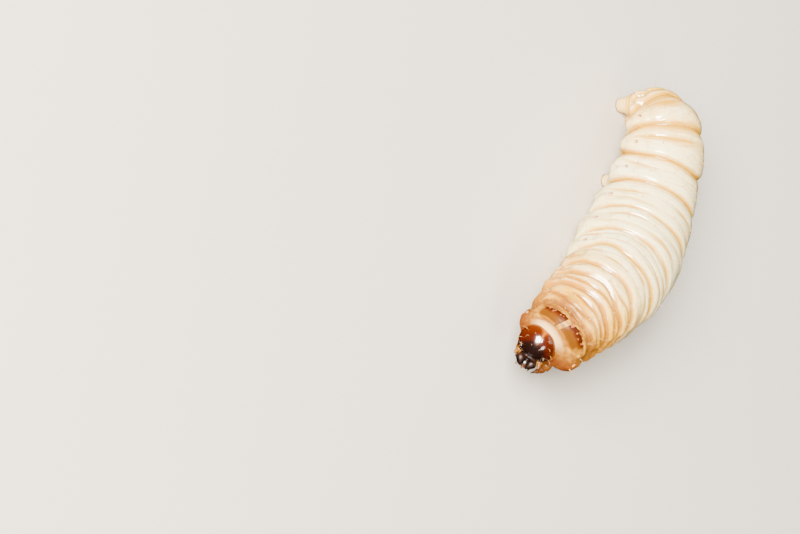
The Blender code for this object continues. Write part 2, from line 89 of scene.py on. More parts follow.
BENDS = (
    (0.0, 33), (1.2, 28.5), (2.5, 31), (4.0, 36), (6.0, 35), (8.0, 26.5), (10.0, 16), (12.0, 3),
    (14.0, -4.5), (16.0, -14.5), (17.2, -12), (18.1, 2), (19.1, 18),
)
HEIGHTS = (
    (0.0, 3.33), (2.0, 3.53), (4.0, 3.59), (6.0, 3.41), (8.0, 3.02), (10.0, 2.73), (12.0, 2.61),
    (14.0, 2.64), (16.0, 2.69), (16.8, 2.53), (17.6, 2.12), (18.4, 1.56), (19.1, 1.12),
)
LEANS = ((0.0, -36), (2.0, -31), (4.0, -25), (6.5, -17), (9.0, -9), (13.0, -3), (19.1, 0))
print("body length", round(BODY_LENGTH, 2), "mm in", len(RINGS), "rings")


# %% A smooth curve through a table, for whole arrays of places at once
def smooth(table, at):
    places, values = np.array(table, float).T
    slopes = np.gradient(values, places)
    at = np.clip(np.asarray(at, float), places[0], places[-1])
    i = np.clip(np.searchsorted(places, at) - 1, 0, len(places) - 2)
    width = places[i + 1] - places[i]
    t = (at - places[i]) / width
    start = (1 + 2 * t) * values[i] + t * width * slopes[i]
    end = (3 - 2 * t) * values[i + 1] + (t - 1) * width * slopes[i + 1]
    return (1 - t) ** 2 * start + t ** 2 * end


def bell(distance, width):
    return np.exp(-((distance / width) ** 2))


def ramp(value, low, high):
    t = np.clip((value - low) / (high - low), 0, 1)
    return t * t * (3 - 2 * t)


RING_MIDDLES = (RING_ENDS[:-1] + RING_ENDS[1:]) / 2
WIDTHS = [
    (0.0, NECK_HALF_WIDTH),
    *zip(RING_MIDDLES, [half for _, _, half in RINGS]),
    (BODY_LENGTH, TAIL_HALF_WIDTH),
]


def half_width(s):
    """Half the body's width at a station, tucked in at the neck and rounded at the tail."""
    over = np.clip((s - (BODY_LENGTH - TAIL_ROUND)) / TAIL_ROUND, 0, 1)
    tail = np.sqrt(np.maximum(TAIL_LEAST, 1 - over ** TAIL_BLUNTNESS))
    neck = 1 - NECK_TUCK * np.clip(1 - s / NECK_ROUND, 0, 1) ** 3
    return smooth(WIDTHS, s) * neck * tail


# %% The middle line, with a left, an up and a tailward direction at each station
AXIS_STEP, SIGHT = 0.05, 0.3
STATIONS = np.arange(0, BODY_LENGTH + AXIS_STEP / 2, AXIS_STEP)


def lay_axis():
    """The middle line's points, one step of the line apart."""
    z = smooth(HEIGHTS, STATIONS)
    level = np.sqrt(AXIS_STEP ** 2 - np.diff(z) ** 2)
    turns = np.radians(smooth(BENDS, STATIONS))
    turns = (turns[1:] + turns[:-1]) / 2
    x = np.concatenate([[0], np.cumsum(np.sin(turns) * level)])
    y = np.concatenate([[0], np.cumsum(np.cos(turns) * level)])
    return np.stack([x, y, z], 1)


AXIS = lay_axis()


def unit(vectors):
    return vectors / np.linalg.norm(vectors, axis=-1, keepdims=True)


def axis_point(s):
    return np.stack([np.interp(s, STATIONS, AXIS[:, k]) for k in range(3)], -1)


def body_frame(s):
    """The middle line at a station, and the left, up and tailward directions there."""
    s = np.asarray(s, float)
    ahead, behind = np.maximum(s - SIGHT, 0), np.minimum(s + SIGHT, BODY_LENGTH)
    tailward = unit(axis_point(behind) - axis_point(ahead))
    level = unit(np.cross(tailward, (0, 0, 1)))
    lean = np.radians(smooth(LEANS, s))[..., None]
    left = level * np.cos(lean) + np.cross(tailward, level) * np.sin(lean)
    return axis_point(s), left, np.cross(left, tailward), tailward


def on_body(s, angle, radius):
    """Points round the middle line, by an angle from the back over the left side."""
    middle, left, up, _ = body_frame(s)
    radius = np.asarray(radius, float)[..., None]
    angle = np.asarray(angle, float)[..., None]
    return middle + left * radius * np.sin(angle) + up * radius * BACK_RISE * np.cos(angle)


def smooth_radius(s, angle):
    """The body's distance from its middle line, with no folds in it and flatter at the belly."""
    return half_width(s) * (1 - np.maximum(0, -np.cos(angle)) ** 2 * BELLY_FLATTENING)


print("the middle line rises to", round(float(AXIS[:, 2].max()), 2), "mm")

# %% [markdown]
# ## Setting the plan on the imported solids
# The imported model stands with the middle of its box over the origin, while the plan starts at
# the neck. The frame says where the solid ring of the third chest segment lies, and in the
# plan the middle of that ring is known, so the difference is the shift for all that follows.

# %% Measure the shift from the plan to the frame
PLANNED_RING_MIDDLE = np.array((1.5285357161263844, 2.6158505349270516, 3.6568474596085463))
low, high = (np.array(corner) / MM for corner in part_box("metathorax"))
SHIFT = (low + high) / 2 - PLANNED_RING_MIDDLE
print("shift in mm", SHIFT.round(4))

# %% [markdown]
# ## Small helpers for meshes
# Most pieces are grids rolled up into a tube, or a ball whose points are moved. Both are a
# sheet of rows and columns, so one helper joins such sheets to closed surfaces with a point at
# each end, and turns their faces outwards. Building rows of quads keeps the mesh lines along
# the folds, where a voxel remesh would cut across them.

# %% Meshes from rings of points
def close_rows(rows, columns, first):
    """Faces of a tube of rows, closed by a point before its first and one after its last row."""
    row, column = np.meshgrid(np.arange(rows - 1), np.arange(columns), indexing="ij")
    here, after = row * columns + column, row * columns + (column + 1) % columns
    quads = np.stack([here, after, after + columns, here + columns], -1).reshape(-1, 4) + first
    last, near = (rows - 1) * columns + first, rows * columns + first
    faces = quads.tolist()
    faces += [(near, first + (i + 1) % columns, first + i) for i in range(columns)]
    faces += [(near + 1, last + i, last + (i + 1) % columns) for i in range(columns)]
    return faces


def face_outwards(data):
    mesh = bmesh.new()
    mesh.from_mesh(data)
    bmesh.ops.recalc_face_normals(mesh, faces=mesh.faces)
    if mesh.calc_volume(signed=True) < 0:
        bmesh.ops.reverse_faces(mesh, faces=mesh.faces)
    mesh.to_mesh(data)
    mesh.free()


def add_piece(name, *grids):
    """An object of closed tubes, each from an array of rows, columns and coordinates."""
    points, faces, count = [], [], 0
    for grid in grids:
        rows, columns = grid.shape[:2]
        points += [grid.reshape(-1, 3), grid[:1].mean(1), grid[-1:].mean(1)]
        faces += close_rows(rows, columns, count)
        count += rows * columns + 2
    data = bpy.data.meshes.new(name)
    data.from_pydata((np.concatenate(points) + SHIFT) * MM, [], faces)
    data.shade_smooth()
    face_outwards(data)
    piece = bpy.data.objects.new(name, data)
    bpy.context.scene.collection.objects.link(piece)
    return piece


# %% Values for the finishes, and two common grids
def keep_values(piece, **values):
    """Stores one number per point under each name, for the finish to read."""
    for name, numbers in values.items():
        attribute = piece.data.attributes.new(name, "FLOAT", "POINT")
        attribute.data.foreach_set("value", np.asarray(numbers, np.float32).ravel())


def with_ends(values):
    """A grid's values, and their means for the two points that close its ends."""
    return np.concatenate([values.ravel(), [values[0].mean(), values[-1].mean()]])


def rows_of_shares(rows, columns):
    """A grid of values that rise from 0 in its first row to 1 in its last."""
    return np.linspace(0, 1, rows)[:, None] + np.zeros((1, columns))


def swept(line, across, over, radius, columns):
    """Rings of points round a line, from two directions across it and a radius at each place."""
    turn = np.linspace(0, 2 * math.pi, columns, endpoint=False)[:, None]
    rings = across[:, None] * np.sin(turn) + over[:, None] * np.cos(turn)
    return line[:, None] + rings * radius[..., None]


def tapered(line, hint, radius, columns):
    """A tube along a line, turned so that its rings begin square to a hinted direction."""
    along = unit(np.gradient(line, axis=0))
    across = unit(np.cross(along, hint))
    return swept(line, across, np.cross(along, across), radius, columns)


def ball_grid(rows, columns, margin):
    """Rows of the unit sphere round +Y, which begin and end a small angle from its poles."""
    polar = np.linspace(margin, math.pi - margin, rows)
    around = np.linspace(0, 2 * math.pi, columns, endpoint=False)
    polar, around = np.meshgrid(polar, around, indexing="ij")
    out = np.sin(polar)
    return np.stack([out * np.sin(around), np.cos(polar), out * np.cos(around)], -1)


# %% [markdown]
# ## Uneven lines
# Nothing on a living skin is ruled. A few sine waves with random steps round the body and
# along it, from a fixed seed, add up to a field that runs on without a seam, and that bends
# folds, breaks wrinkles and mottles colour the same way on each run.

# %% Random smooth fields on the body
chance = np.random.default_rng(11)


def uneven(s, angle, along, around, count=7):
    """A smooth random field of about -1 to 1, with waves of about the given length and number."""
    total = 0
    for _ in range(count):
        pitch = chance.uniform(0.4, 1.0) * 2 * math.pi / along * chance.choice((-1, 1))
        turns = chance.integers(-around, around + 1)
        total = total + np.sin(pitch * s + turns * angle + chance.uniform(0, 2 * math.pi))
    return total / math.sqrt(count)


# %% [markdown]
# ## The skin's relief
# Between two rings the skin dips into a deep fold with round shoulders. Across the back of each
# ring run one or more shallower creases, close together on the crowded front rings and single
# on the long ones behind. Low on the sides lobes swell out, and fine wrinkles follow the folds
# everywhere. This relief could be a texture, but folds this deep break the outline, so they are
# moved points of a fine grid.

# %% Folds between the rings
FOLD_BROAD, FOLD_AHEAD, FOLD_BEHIND = 0.17, 0.30, 0.17
FOLD_SHARP, FOLD_SHARP_WIDTH, FOLD_SWAY = 0.10, 0.05, 0.06
FOLD_ON_BACK, FOLD_ON_FLANK = 0.85, 0.9
CROWDED_FOLDS, CROWDED, ROOMY = 4, 0.75, 1.15
FLANK_ANGLE, FLANK_SPREAD = math.radians(118), math.radians(38)


def press_folds(s, angle, radius, crease, valley):
    """Presses the folds in, deeper on the flanks, and notes how deep each point lies."""
    flank = bell(abs(angle) - FLANK_ANGLE, FLANK_SPREAD)
    for index, station in enumerate(RING_ENDS[1:-1]):
        away = s - station - FOLD_SWAY * uneven(0 * s, angle, 1, 5)
        crowd = CROWDED if index < CROWDED_FOLDS else ROOMY
        broad = bell(away, np.where(away < 0, FOLD_AHEAD, FOLD_BEHIND) * crowd)
        sharp = np.exp(-abs(away) / FOLD_SHARP_WIDTH)
        depth = FOLD_BROAD * (FOLD_ON_BACK + FOLD_ON_FLANK * flank)
        radius -= depth * broad + FOLD_SHARP * sharp
        np.maximum(crease, sharp, out=crease)
        np.maximum(valley, broad, out=valley)


# %% Creases across each ring, by their share of its length and their depth
CREASE_AHEAD, CREASE_BEHIND, CREASE_SHARP_WIDTH = 0.17, 0.10, 0.04
CREASE_BROAD, CREASE_SHARP = 0.75, 0.35
CREASE_SWAY, CREASE_FADE, CREASE_REACH = 0.10, 7, math.radians(105)
LONG_RINGS_FROM, LONG_RING_WIDENING = 6, 1.6
CREASES = {
    1: ((0.34, 0.07), (0.68, 0.09)),
    2: ((0.52, 0.09),),
    3: ((0.50, 0.09),),
    4: ((0.33, 0.06), (0.66, 0.09)),
    5: ((0.34, 0.06), (0.67, 0.09)),
    6: ((0.30, 0.025), (0.64, 0.065)),
    7: ((0.30, 0.015), (0.62, 0.06)),
    8: ((0.61, 0.05),),
    9: ((0.60, 0.05),),
    10: ((0.60, 0.03),),
}


def press_creases(s, angle, radius, crease, valley):
    """Presses shallower creases into the back, each of an uneven strength."""
    reach = 1 / (1 + np.exp((abs(angle) - CREASE_REACH) * CREASE_FADE))
    for ring, places in CREASES.items():
        wide = 1.0 if ring < LONG_RINGS_FROM else LONG_RING_WIDENING
        for share, deep in places:
            station = RING_ENDS[ring] + share * LENGTHS[ring]
            away = s - station - CREASE_SWAY * uneven(0 * s, angle, 1, 5)
            strength = reach * np.clip(0.75 + 0.45 * uneven(0 * s, angle, 1, 6), 0.05, 1.4)
            broad = bell(away, np.where(away < 0, CREASE_AHEAD, CREASE_BEHIND) * wide)
            sharp = np.exp(-abs(away) / CREASE_SHARP_WIDTH) / wide
            radius -= deep * strength * (CREASE_BROAD * broad + CREASE_SHARP * sharp)
            np.maximum(crease, 0.6 * strength * sharp, out=crease)
            np.maximum(valley, 0.7 * strength * broad, out=valley)


# %% The collar's rim, the grooves along the sides, and the swellings of each ring
LOBE_HEIGHT, LOBE_ANGLE, LOBE_SPREAD = 0.16, math.radians(112), math.radians(15)
COLLAR_GROOVE, COLLAR_PLACE, COLLAR_WIDTH = 0.06, 0.15, 0.05
COLLAR_RIM, RIM_PLACE, RIM_WIDTH = 0.05, 0.06, 0.08
SIDE_GROOVE, SIDE_SWAY, SIDE_GROOVES = 0.06, 0.05, ((76, 6), (131, 7))
SWELLINGS = (
    (0.30, 98, 0.09), (0.66, 95, 0.08), (0.48, 116, 0.05),
    (0.40, 68, 0.04), (0.36, 30, 0.02), (0.70, 18, 0.02),
)
SWELLING_LENGTH, SWELLING_SPREAD = 0.24, 0.11


def shape_sides(s, angle, radius, _, valley):
    groove = bell(s - COLLAR_PLACE, COLLAR_WIDTH)
    radius += COLLAR_RIM * bell(s - RIM_PLACE, RIM_WIDTH) - COLLAR_GROOVE * groove
    np.maximum(valley, 0.7 * groove, out=valley)
    ring = np.clip(np.searchsorted(RING_ENDS, s) - 1, 0, len(RINGS) - 1)
    share = np.clip((s - RING_ENDS[ring]) / LENGTHS[ring], 0, 1)
    hump = np.sin(math.pi * share)
    radius += LOBE_HEIGHT * bell(abs(angle) - LOBE_ANGLE, LOBE_SPREAD) * hump
    for degrees, spread in SIDE_GROOVES:
        sway = SIDE_SWAY * uneven(s, 0 * angle, 2.2, 1)
        drawn = bell(abs(angle) - math.radians(degrees) - sway, math.radians(spread))
        radius -= SIDE_GROOVE * drawn * hump ** 0.5
        np.maximum(valley, 0.35 * drawn * hump, out=valley)
    for place, degrees, tall in SWELLINGS:
        spot = bell((share - place) * LENGTHS[ring], SWELLING_LENGTH)
        radius += tall * spot * bell(abs(angle) - math.radians(degrees), SWELLING_SPREAD)


# %% Wrinkles, by their length and height, and a slow unevenness
WRINKLES = ((0.19, 0.010), (0.31, 0.013), (0.115, 0.005))
# Wrinkles taller than this get painted shade in their troughs.
SHADED_WRINKLE = 0.008


def draw_wrinkles(s, angle, radius, crease, valley):
    """Draws patches of fine wrinkles along the folds, and marks the trough of each larger one for
    painted shade.
    """
    wave = uneven(s, angle, 1.2, 7)
    for length, tall in WRINKLES:
        drift = 1.6 * uneven(s, angle, 2.2, 6) + 1.2 * wave
        patches = np.clip(0.45 + 0.55 * uneven(s, angle, 0.8, 7), 0, 1.4)
        patches *= 0.34 + 1.2 * valley
        line = np.sin(2 * math.pi * s / length + drift)
        radius += tall * line * patches
        if tall > SHADED_WRINKLE:
            np.maximum(crease, 0.25 * np.clip(-line * patches, 0, 1), out=crease)
    radius += 0.022 * uneven(s, angle, 2.6, 4) + 0.012 * uneven(s, angle, 0.9, 9)


def skin_relief(s, angle):
    """The skin's distance from the middle line, and each point's depth in crease and valley."""
    radius = smooth_radius(s, angle)
    crease, valley = np.zeros_like(radius), np.zeros_like(radius)
    for shape in (press_folds, press_creases, shape_sides, draw_wrinkles):
        shape(s, angle, radius, crease, valley)
    return radius, np.clip(crease, 0, 1), np.clip(valley, 0, 1)


# %% The body's grid
SKIN_ROWS, SKIN_COLUMNS = 640, 320
row_stations = np.linspace(0, BODY_LENGTH, SKIN_ROWS)
turns = np.arange(SKIN_COLUMNS) * 2 * math.pi / SKIN_COLUMNS - math.pi
grid_s, grid_angle = np.meshgrid(row_stations, turns, indexing="ij")
skin_radius, skin_depth, skin_valley = skin_relief(grid_s, grid_angle)
body_grid = on_body(grid_s, grid_angle, skin_radius)


def relief_at(s, angle):
    """The finished skin's distance from the middle line, read back from its grid."""
    row = np.clip(s / BODY_LENGTH * (SKIN_ROWS - 1), 0, SKIN_ROWS - 1)
    column = (angle + math.pi) / (2 * math.pi) * SKIN_COLUMNS % SKIN_COLUMNS
    i, j = np.floor(row).astype(int), np.floor(column).astype(int)
    u, v = row - i, column - j
    i2, j, j2 = np.minimum(i + 1, SKIN_ROWS - 1), j % SKIN_COLUMNS, (j + 1) % SKIN_COLUMNS
    near = skin_radius[i, j] * (1 - v) + skin_radius[i, j2] * v
    far = skin_radius[i2, j] * (1 - v) + skin_radius[i2, j2] * v
    return near * (1 - u) + far * u


print("skin grid", body_grid.shape, "widest", round(float(skin_radius.max() * 2), 2), "mm")

# %% [markdown]
# ## The rolled-in collar
# At the neck the skin doesn't end in a cut edge: it bulges in a soft rim, closes round the horn
# of the head, and runs back inside as a sleeve. The first rows are drawn towards the head's
# middle, and a few more rows in front of them make the roll.

# %% Draw the neck to the head and roll it in
HEAD_FORWARD, HEAD_DROP, HEAD_ASIDE = 0.09, 0.33, 0.09
DRAW_LENGTH = 0.9
ROLL_ROWS, ROLL_DEPTH, ROLL_RADIUS, ROLL_BULGE = 16, 0.34, 0.80, 0.07
# The second value is the crease kept inside the roll, which gets painted shade.
ROLL_STATION, ROLL_SHADE = -0.4, 0.3
neck_middle, neck_left, _, neck_tailward = body_frame(0.0)
HEAD_MIDDLE = neck_middle - neck_tailward * HEAD_FORWARD - neck_left * HEAD_ASIDE
HEAD_MIDDLE[2] -= HEAD_DROP


def drawn_to_head(grid, s):
    """Moves points near the neck sideways, so that its opening lies round the head."""
    aside = HEAD_MIDDLE - neck_middle
    aside -= neck_tailward * float(aside @ neck_tailward)
    share = np.clip(1 - np.asarray(s) / DRAW_LENGTH, 0, 1)[..., None] ** 2
    return grid + aside * share


def collar_rows():
    """Rows from inside the sleeve out to the body's first row."""
    first = drawn_to_head(body_grid[0], np.zeros(SKIN_COLUMNS))
    centre = first.mean(0)
    spokes = first - centre
    reach = np.linalg.norm(spokes, axis=1, keepdims=True)
    rows = []
    for share in np.linspace(1, 0, ROLL_ROWS, endpoint=False):
        drawn_in = math.sin(share * math.pi / 2) ** 1.5
        spread = (reach + (ROLL_RADIUS - reach) * drawn_in) / reach
        back = ROLL_DEPTH * max(0, share - 0.3) ** 1.2
        back -= ROLL_BULGE * math.sin(min(share * 2.5, 1) * math.pi)
        rows.append(centre + spokes * spread + neck_tailward * back)
    return np.stack(rows)


def on_skin(s, angle, lift=0.0):
    """A point on the finished skin, or a little above it."""
    return drawn_to_head(on_body(s, angle, relief_at(s, angle) + lift), s)


whole_grid = np.concatenate([collar_rows(), drawn_to_head(body_grid, grid_s)])
inside = np.linspace(1, 1 / ROLL_ROWS, ROLL_ROWS)[:, None] + np.zeros((1, SKIN_COLUMNS))
whole_s = np.concatenate([ROLL_STATION * inside, grid_s])
whole_angle = np.concatenate([0 * inside + turns, grid_angle])
whole_depth = np.concatenate([ROLL_SHADE * inside, skin_depth])
whole_valley = np.concatenate([0 * inside, skin_valley])
print("rows with the roll:", len(whole_grid))

# %% [markdown]
# ## Soft feet
# Under the third to the sixth belly ring, and at the tail, stand pairs of fleshy feet without
# joints: a short wrinkled stalk with a flat round sole. Each is lofted along a bent line from
# inside its ring down to the floor. The stalks are joined to the body by one Boolean union, so
# that the skin runs on into them and no seam shows.

# %% Feet lofted from the belly to the floor
LEG_ROOT_SINK = 0.5
PROLEG_RINGS, PROLEG_ANGLE, PROLEG_SPLAY = (5, 6, 7, 8), math.radians(161), -0.12
PROLEG_RADII = (
    (0.0, 0.56), (0.30, 0.47), (0.52, 0.42), (0.72, 0.34), (0.86, 0.37), (0.95, 0.35), (1.0, 0.30),
)
TAIL_FOOT_ANGLE, TAIL_FOOT_SHARE = math.radians(149), 0.42
TAIL_FOOT_REACH, TAIL_FOOT_SPLAY = 0.15, 0.05
TAIL_FOOT_RADII = (
    (0.0, 0.80), (0.30, 0.68), (0.52, 0.54), (0.72, 0.42), (0.86, 0.39), (0.95, 0.36), (1.0, 0.30),
)
FOOT_ROWS, FOOT_COLUMNS, FOOT_RIPPLE, FOOT_RIPPLES = 44, 48, 0.012, 7


def loft(root, knee, tip, radii, standing, rows, columns, ripple=0.0):
    """Rows of points round a bent line from the root over the knee to the tip."""
    share = np.linspace(0, 1, rows)[:, None]

    def line(t):
        return root * (1 - t) ** 2 + knee * 2 * t * (1 - t) + tip * t ** 2

    along = unit(line(np.minimum(share + 0.05, 1)) - line(np.maximum(share - 0.05, 0)))
    if standing:
        along = unit(along * (1 - share ** 4) + np.array((0, 0, -1.0)) * share ** 4)
    across = unit(np.cross(along, (0, -1.0, 0)))
    turn = np.linspace(0, 2 * math.pi, columns, endpoint=False)
    wave = np.sin(share * 2 * math.pi * FOOT_RIPPLES + 0.6 * np.sin(3 * turn)) * (1 - share ** 6)
    radius = smooth(radii, share) + ripple * wave
    return swept(line(share), across, np.cross(across, along), radius, columns)


def plan_feet():
    """For each foot its station, angle, root, knee and sole."""
    tail = (len(RINGS) - 1, TAIL_FOOT_SHARE, TAIL_FOOT_ANGLE, TAIL_FOOT_SPLAY, TAIL_FOOT_REACH)
    places = [(ring, 0.5, PROLEG_ANGLE, PROLEG_SPLAY, 0.0) for ring in PROLEG_RINGS] + [tail]
    feet = []
    for ring, share, angle, splay, reach in places:
        s = RING_ENDS[ring] + share * LENGTHS[ring]
        middle, left, _, tailward = body_frame(s)
        for side in (1, -1):
            surface = on_body(s, side * angle, smooth_radius(s, side * angle))
            root = surface + unit(middle - surface) * LEG_ROOT_SINK
            sole = surface + left * side * splay + tailward * reach
            sole[2] = 0
            knee = (root + sole) / 2 + left * side * splay
            feet.append((s, side * angle, root, knee, sole))
    return feet


FEET = plan_feet()
foot_grids = []
for foot in FEET:
    radii = TAIL_FOOT_RADII if foot[0] > RING_ENDS[-2] else PROLEG_RADII
    foot_grids.append(loft(*foot[2:], radii, True, FOOT_ROWS, FOOT_COLUMNS, FOOT_RIPPLE))
print("feet:", len(foot_grids))

# %% One skin over body and feet
def keep_skin_values(piece, s, angle, crease, valley, foot):
    """Stores where each point of the skin lies on the body and in its folds."""
    keep_values(piece, station=s, back=np.cos(angle), side=np.sin(angle))
    keep_values(piece, crease=crease, valley=valley, foot=foot)


skin = add_piece("skin", whole_grid)
body_values = [with_ends(values) for values in (whole_s, whole_angle, whole_depth, whole_valley)]
keep_skin_values(skin, *body_values, 0 * body_values[0])
feet = add_piece("feet", *foot_grids)
one_foot = with_ends(rows_of_shares(FOOT_ROWS, FOOT_COLUMNS))
foot_share = np.tile(one_foot, len(FEET))
foot_s, foot_angle = (np.repeat([foot[k] for foot in FEET], len(one_foot)) for k in (0, 1))
# The troughs of the ripples and a band round the stalk are kept as crease and valley, which get
# painted shade.
ripple_shade = 0.3 * (0.5 - 0.5 * np.sin(foot_share * 2 * math.pi * FOOT_RIPPLES))
keep_skin_values(feet, foot_s, foot_angle, ripple_shade, 0.6 * bell(foot_share - 0.4, 0.2), foot_share)
union = skin.modifiers.new("Union", "BOOLEAN")
union.operation = "UNION"
union.solver = "MANIFOLD"
union.object = feet
bpy.context.view_layer.update()
joined = bpy.data.meshes.new_from_object(skin.evaluated_get(bpy.context.evaluated_depsgraph_get()))
skin.modifiers.clear()
skin.data = joined
bpy.data.objects.remove(feet)
joined.shade_smooth()
print("skin faces", len(joined.polygons), "attributes", [a.name for a in joined.attributes])

# %% [markdown]
# ## The head's own coordinates
# The head is turned, tipped and leaned against the neck, so its pieces are easiest to build in
# coordinates of their own: +X to the animal's right, +Y forward to the mouth, +Z up to the
# crown. One turn then carries every piece of the face to its place.

# %% Place the head
HEAD_HALF_SIZES = np.array((1.00, 1.02, 1.03))
HEAD_TURN, HEAD_TIP, HEAD_LEAN = math.radians(22), math.radians(-2), math.radians(-43)


def head_axes():
    flat = np.array((-math.sin(HEAD_TURN), -math.cos(HEAD_TURN), 0))
    up = np.array((0, 0, 1.0))
    forward = flat * math.cos(HEAD_TIP) - up * math.sin(HEAD_TIP)
    crown = flat * math.sin(HEAD_TIP) + up * math.cos(HEAD_TIP)
    crown = crown * math.cos(HEAD_LEAN) + np.cross(-forward, crown) * math.sin(HEAD_LEAN)
    return np.stack([np.cross(forward, crown), forward, crown])


HEAD_AXES = head_axes()


def on_head(points):
    return HEAD_MIDDLE + np.asarray(points) @ HEAD_AXES


print("head middle", HEAD_MIDDLE.round(2), "forward", HEAD_AXES[1].round(2))

# %% [markdown]
# ## Head capsule
# The head is a round horny box. A groove runs over the crown and forks in front round a
# triangle, the frons, so that the two cheeks swell on both sides of it. A sphere of fine rows
# is moved point by point, because the grooves and cheeks follow simple rules in the head's own
# coordinates. Each point also keeps its place on the sphere, from which the finish is painted.

# %% The capsule's shape
HEAD_GROOVE, CHEEK_SWELL, MUZZLE_TAPER = 0.004, 0.025, 0.22
FRONS_APEX, FRONS_BASE, FRONS_HALF_WIDTH = 0.30, 0.90, 0.20
FRONS_RISE, SUTURE_DEPTH, SUTURE_WIDTH = 0.002, 0.002, 0.020
CHEEK_ASIDE, CHEEK_AHEAD, CHEEK_WIDTH, CHEEK_LENGTH = 0.50, 0.25, 0.42, 0.75
HEAD_ROWS, HEAD_COLUMNS, HEAD_POLE = 170, 220, 0.02


def frons_edge(ahead):
    return FRONS_HALF_WIDTH * np.clip((ahead - FRONS_APEX) / (FRONS_BASE - FRONS_APEX), 0, 1) ** 0.8


def suture_mask(p):
    """1 along the groove over the crown and along the frons's edges, 0 away from them."""
    line = bell(abs(p[..., 0]) - frons_edge(p[..., 1]), SUTURE_WIDTH)
    return line * ramp(p[..., 2], -0.05, 0.15)


def capsule(p, fine=True):
    """Points of the unit sphere, moved to the head capsule's surface in head coordinates."""
    x, y, z = p[..., 0], p[..., 1], p[..., 2]
    ahead, above = np.maximum(0, y) ** 2, np.maximum(0, z)
    narrow = 1 - MUZZLE_TAPER * ahead
    lobe = bell(abs(x) - CHEEK_ASIDE, CHEEK_WIDTH) * bell(y - CHEEK_AHEAD, CHEEK_LENGTH)
    cheek = 1 + CHEEK_SWELL * lobe * above
    groove = HEAD_GROOVE * bell(x, 0.16) * above ** 0.5 * (1 - ramp(y, 0.45, 0.95))
    moved = p * HEAD_HALF_SIZES * np.stack([narrow * cheek, 1 + 0 * x, narrow * cheek], -1)
    moved[..., 2] -= groove
    if fine:
        frons = ramp(frons_edge(y) - abs(x), 0, 0.08) * ramp(y, 0.2, 0.6) * above
        moved -= p * (SUTURE_DEPTH * suture_mask(p) - FRONS_RISE * frons)[..., None]
    return moved


ball = ball_grid(HEAD_ROWS, HEAD_COLUMNS, HEAD_POLE)
head = add_piece("head_capsule", on_head(capsule(ball)))
across, ahead, above = (with_ends(ball[..., k]) for k in range(3))
keep_values(head, across=across, ahead=ahead, above=above)
print("head faces", len(head.data.polygons))

# %% [markdown]
# ## Small eyes
# A moth larva has no big faceted eyes, only four simple lenses in an arc low on each cheek,
# each in a narrow dark ring. Each is turned as a lens: a profile of a few radii and heights
# swept round its axis.

# %% Lenses in an arc on each cheek
EYE_MIDDLE = (0.78, 0.64, -0.13)
EYE_COUNT, EYE_RADIUS, EYE_ARC_RADIUS = 4, 0.075, 0.15
EYE_ARC_START, EYE_ARC_STEP = math.radians(-75), math.radians(60)
LENS_PROFILE = (
    (0.1, 1.0), (0.4, 0.92), (0.7, 0.72), (0.9, 0.42), (0.98, 0.16), (1.12, 0.10), (1.24, 0.04),
    (1.28, -0.5), (0.8, -0.9),
)
HEAD_SIDES, BODY_SIDES = ((-1, "left"), (1, "right")), ((1, "left"), (-1, "right"))


def turned(profile, middle, out, ahead, radius, columns=24, stretch=1.0):
    """A profile of radii and heights swept round an axis that stands on a surface."""
    reach, height = np.array(profile).T[..., None] * radius
    line = middle + height * out
    above = np.cross(out, ahead) * stretch
    return swept(line, above + 0 * line, ahead + 0 * line, reach, columns)


def surface_spot(p):
    """A point on the head capsule, its outward and its forward direction, in body coordinates."""
    p = unit(np.asarray(p, float))
    out = unit(p / HEAD_HALF_SIZES)
    ahead = unit(np.array((0, 1, 0)) - out * out[1])
    return on_head(capsule(p, False)), out @ HEAD_AXES, ahead @ HEAD_AXES


eyes = {}
for side, word in HEAD_SIDES:
    centre = unit(np.array((side, 1, 1)) * EYE_MIDDLE)
    forward = unit(np.array((0, 1, 0)) - centre * centre[1])
    above = np.cross(centre, forward) * side
    lenses = []
    for count in range(EYE_COUNT):
        turn = EYE_ARC_START + EYE_ARC_STEP * count
        spot = centre + (forward * math.cos(turn) + above * math.sin(turn)) * EYE_ARC_RADIUS
        middle, out, ahead = surface_spot(spot)
        lenses.append(turned(LENS_PROFILE, middle, out, ahead, EYE_RADIUS))
    eyes[word] = add_piece("lenses_" + word, *lenses)
print("lenses on each cheek:", EYE_COUNT)

# %% [markdown]
# ## Mouthparts
# Under the face hang a notched upper lip, two toothed jaws, and a soft lower lip that carries
# the spinneret for silk between two jointed palps. These are horny, dark and small. Each is
# a lump of rows in the head's coordinates with its own rule for notch, teeth or segments.

# %% A lump and a tube in head coordinates
LUMP_ROWS, LUMP_COLUMNS, LUMP_POLE = 36, 48, 0.03
TUBE_ROWS, TUBE_COLUMNS = 36, 16


def lump(middle, half_sizes, tilt, rule=None):
    """A ball whose points a rule may move, stretched, tilted and set on its place."""
    p = ball_grid(LUMP_ROWS, LUMP_COLUMNS, LUMP_POLE)
    x, y, z = np.moveaxis((p if rule is None else rule(p)) * np.array(half_sizes), -1, 0)
    turned_y = y * math.cos(tilt) + z * math.sin(tilt)
    turned_z = z * math.cos(tilt) - y * math.sin(tilt)
    return on_head(np.array(middle) + np.stack([x, turned_y, turned_z], -1))


def horn_tube(points, radii):
    """A tapered tube through a few points, with its radii along the way."""
    points = np.array(points, float)
    share = np.linspace(0, 1, TUBE_ROWS)
    places = np.concatenate([[0], np.cumsum(np.linalg.norm(np.diff(points, axis=0), axis=1))])
    tables = [np.stack([places / places[-1], points[:, k]], 1) for k in range(3)]
    line = np.stack([smooth(table, share) for table in tables], -1)
    radius = np.interp(share, *np.array(radii, float).T)[:, None]
    return on_head(tapered(line, (0.3, 0.1, 1.0), radius, TUBE_COLUMNS))


# %% Lips, jaws, spinneret and palps
def notched(p):
    p = p.copy()
    p[..., 1] -= 0.35 * bell(p[..., 0], 0.22) * (p[..., 2] < 0.6)
    p[..., 2] *= 1 - 0.25 * bell(p[..., 0], 0.18)
    return p


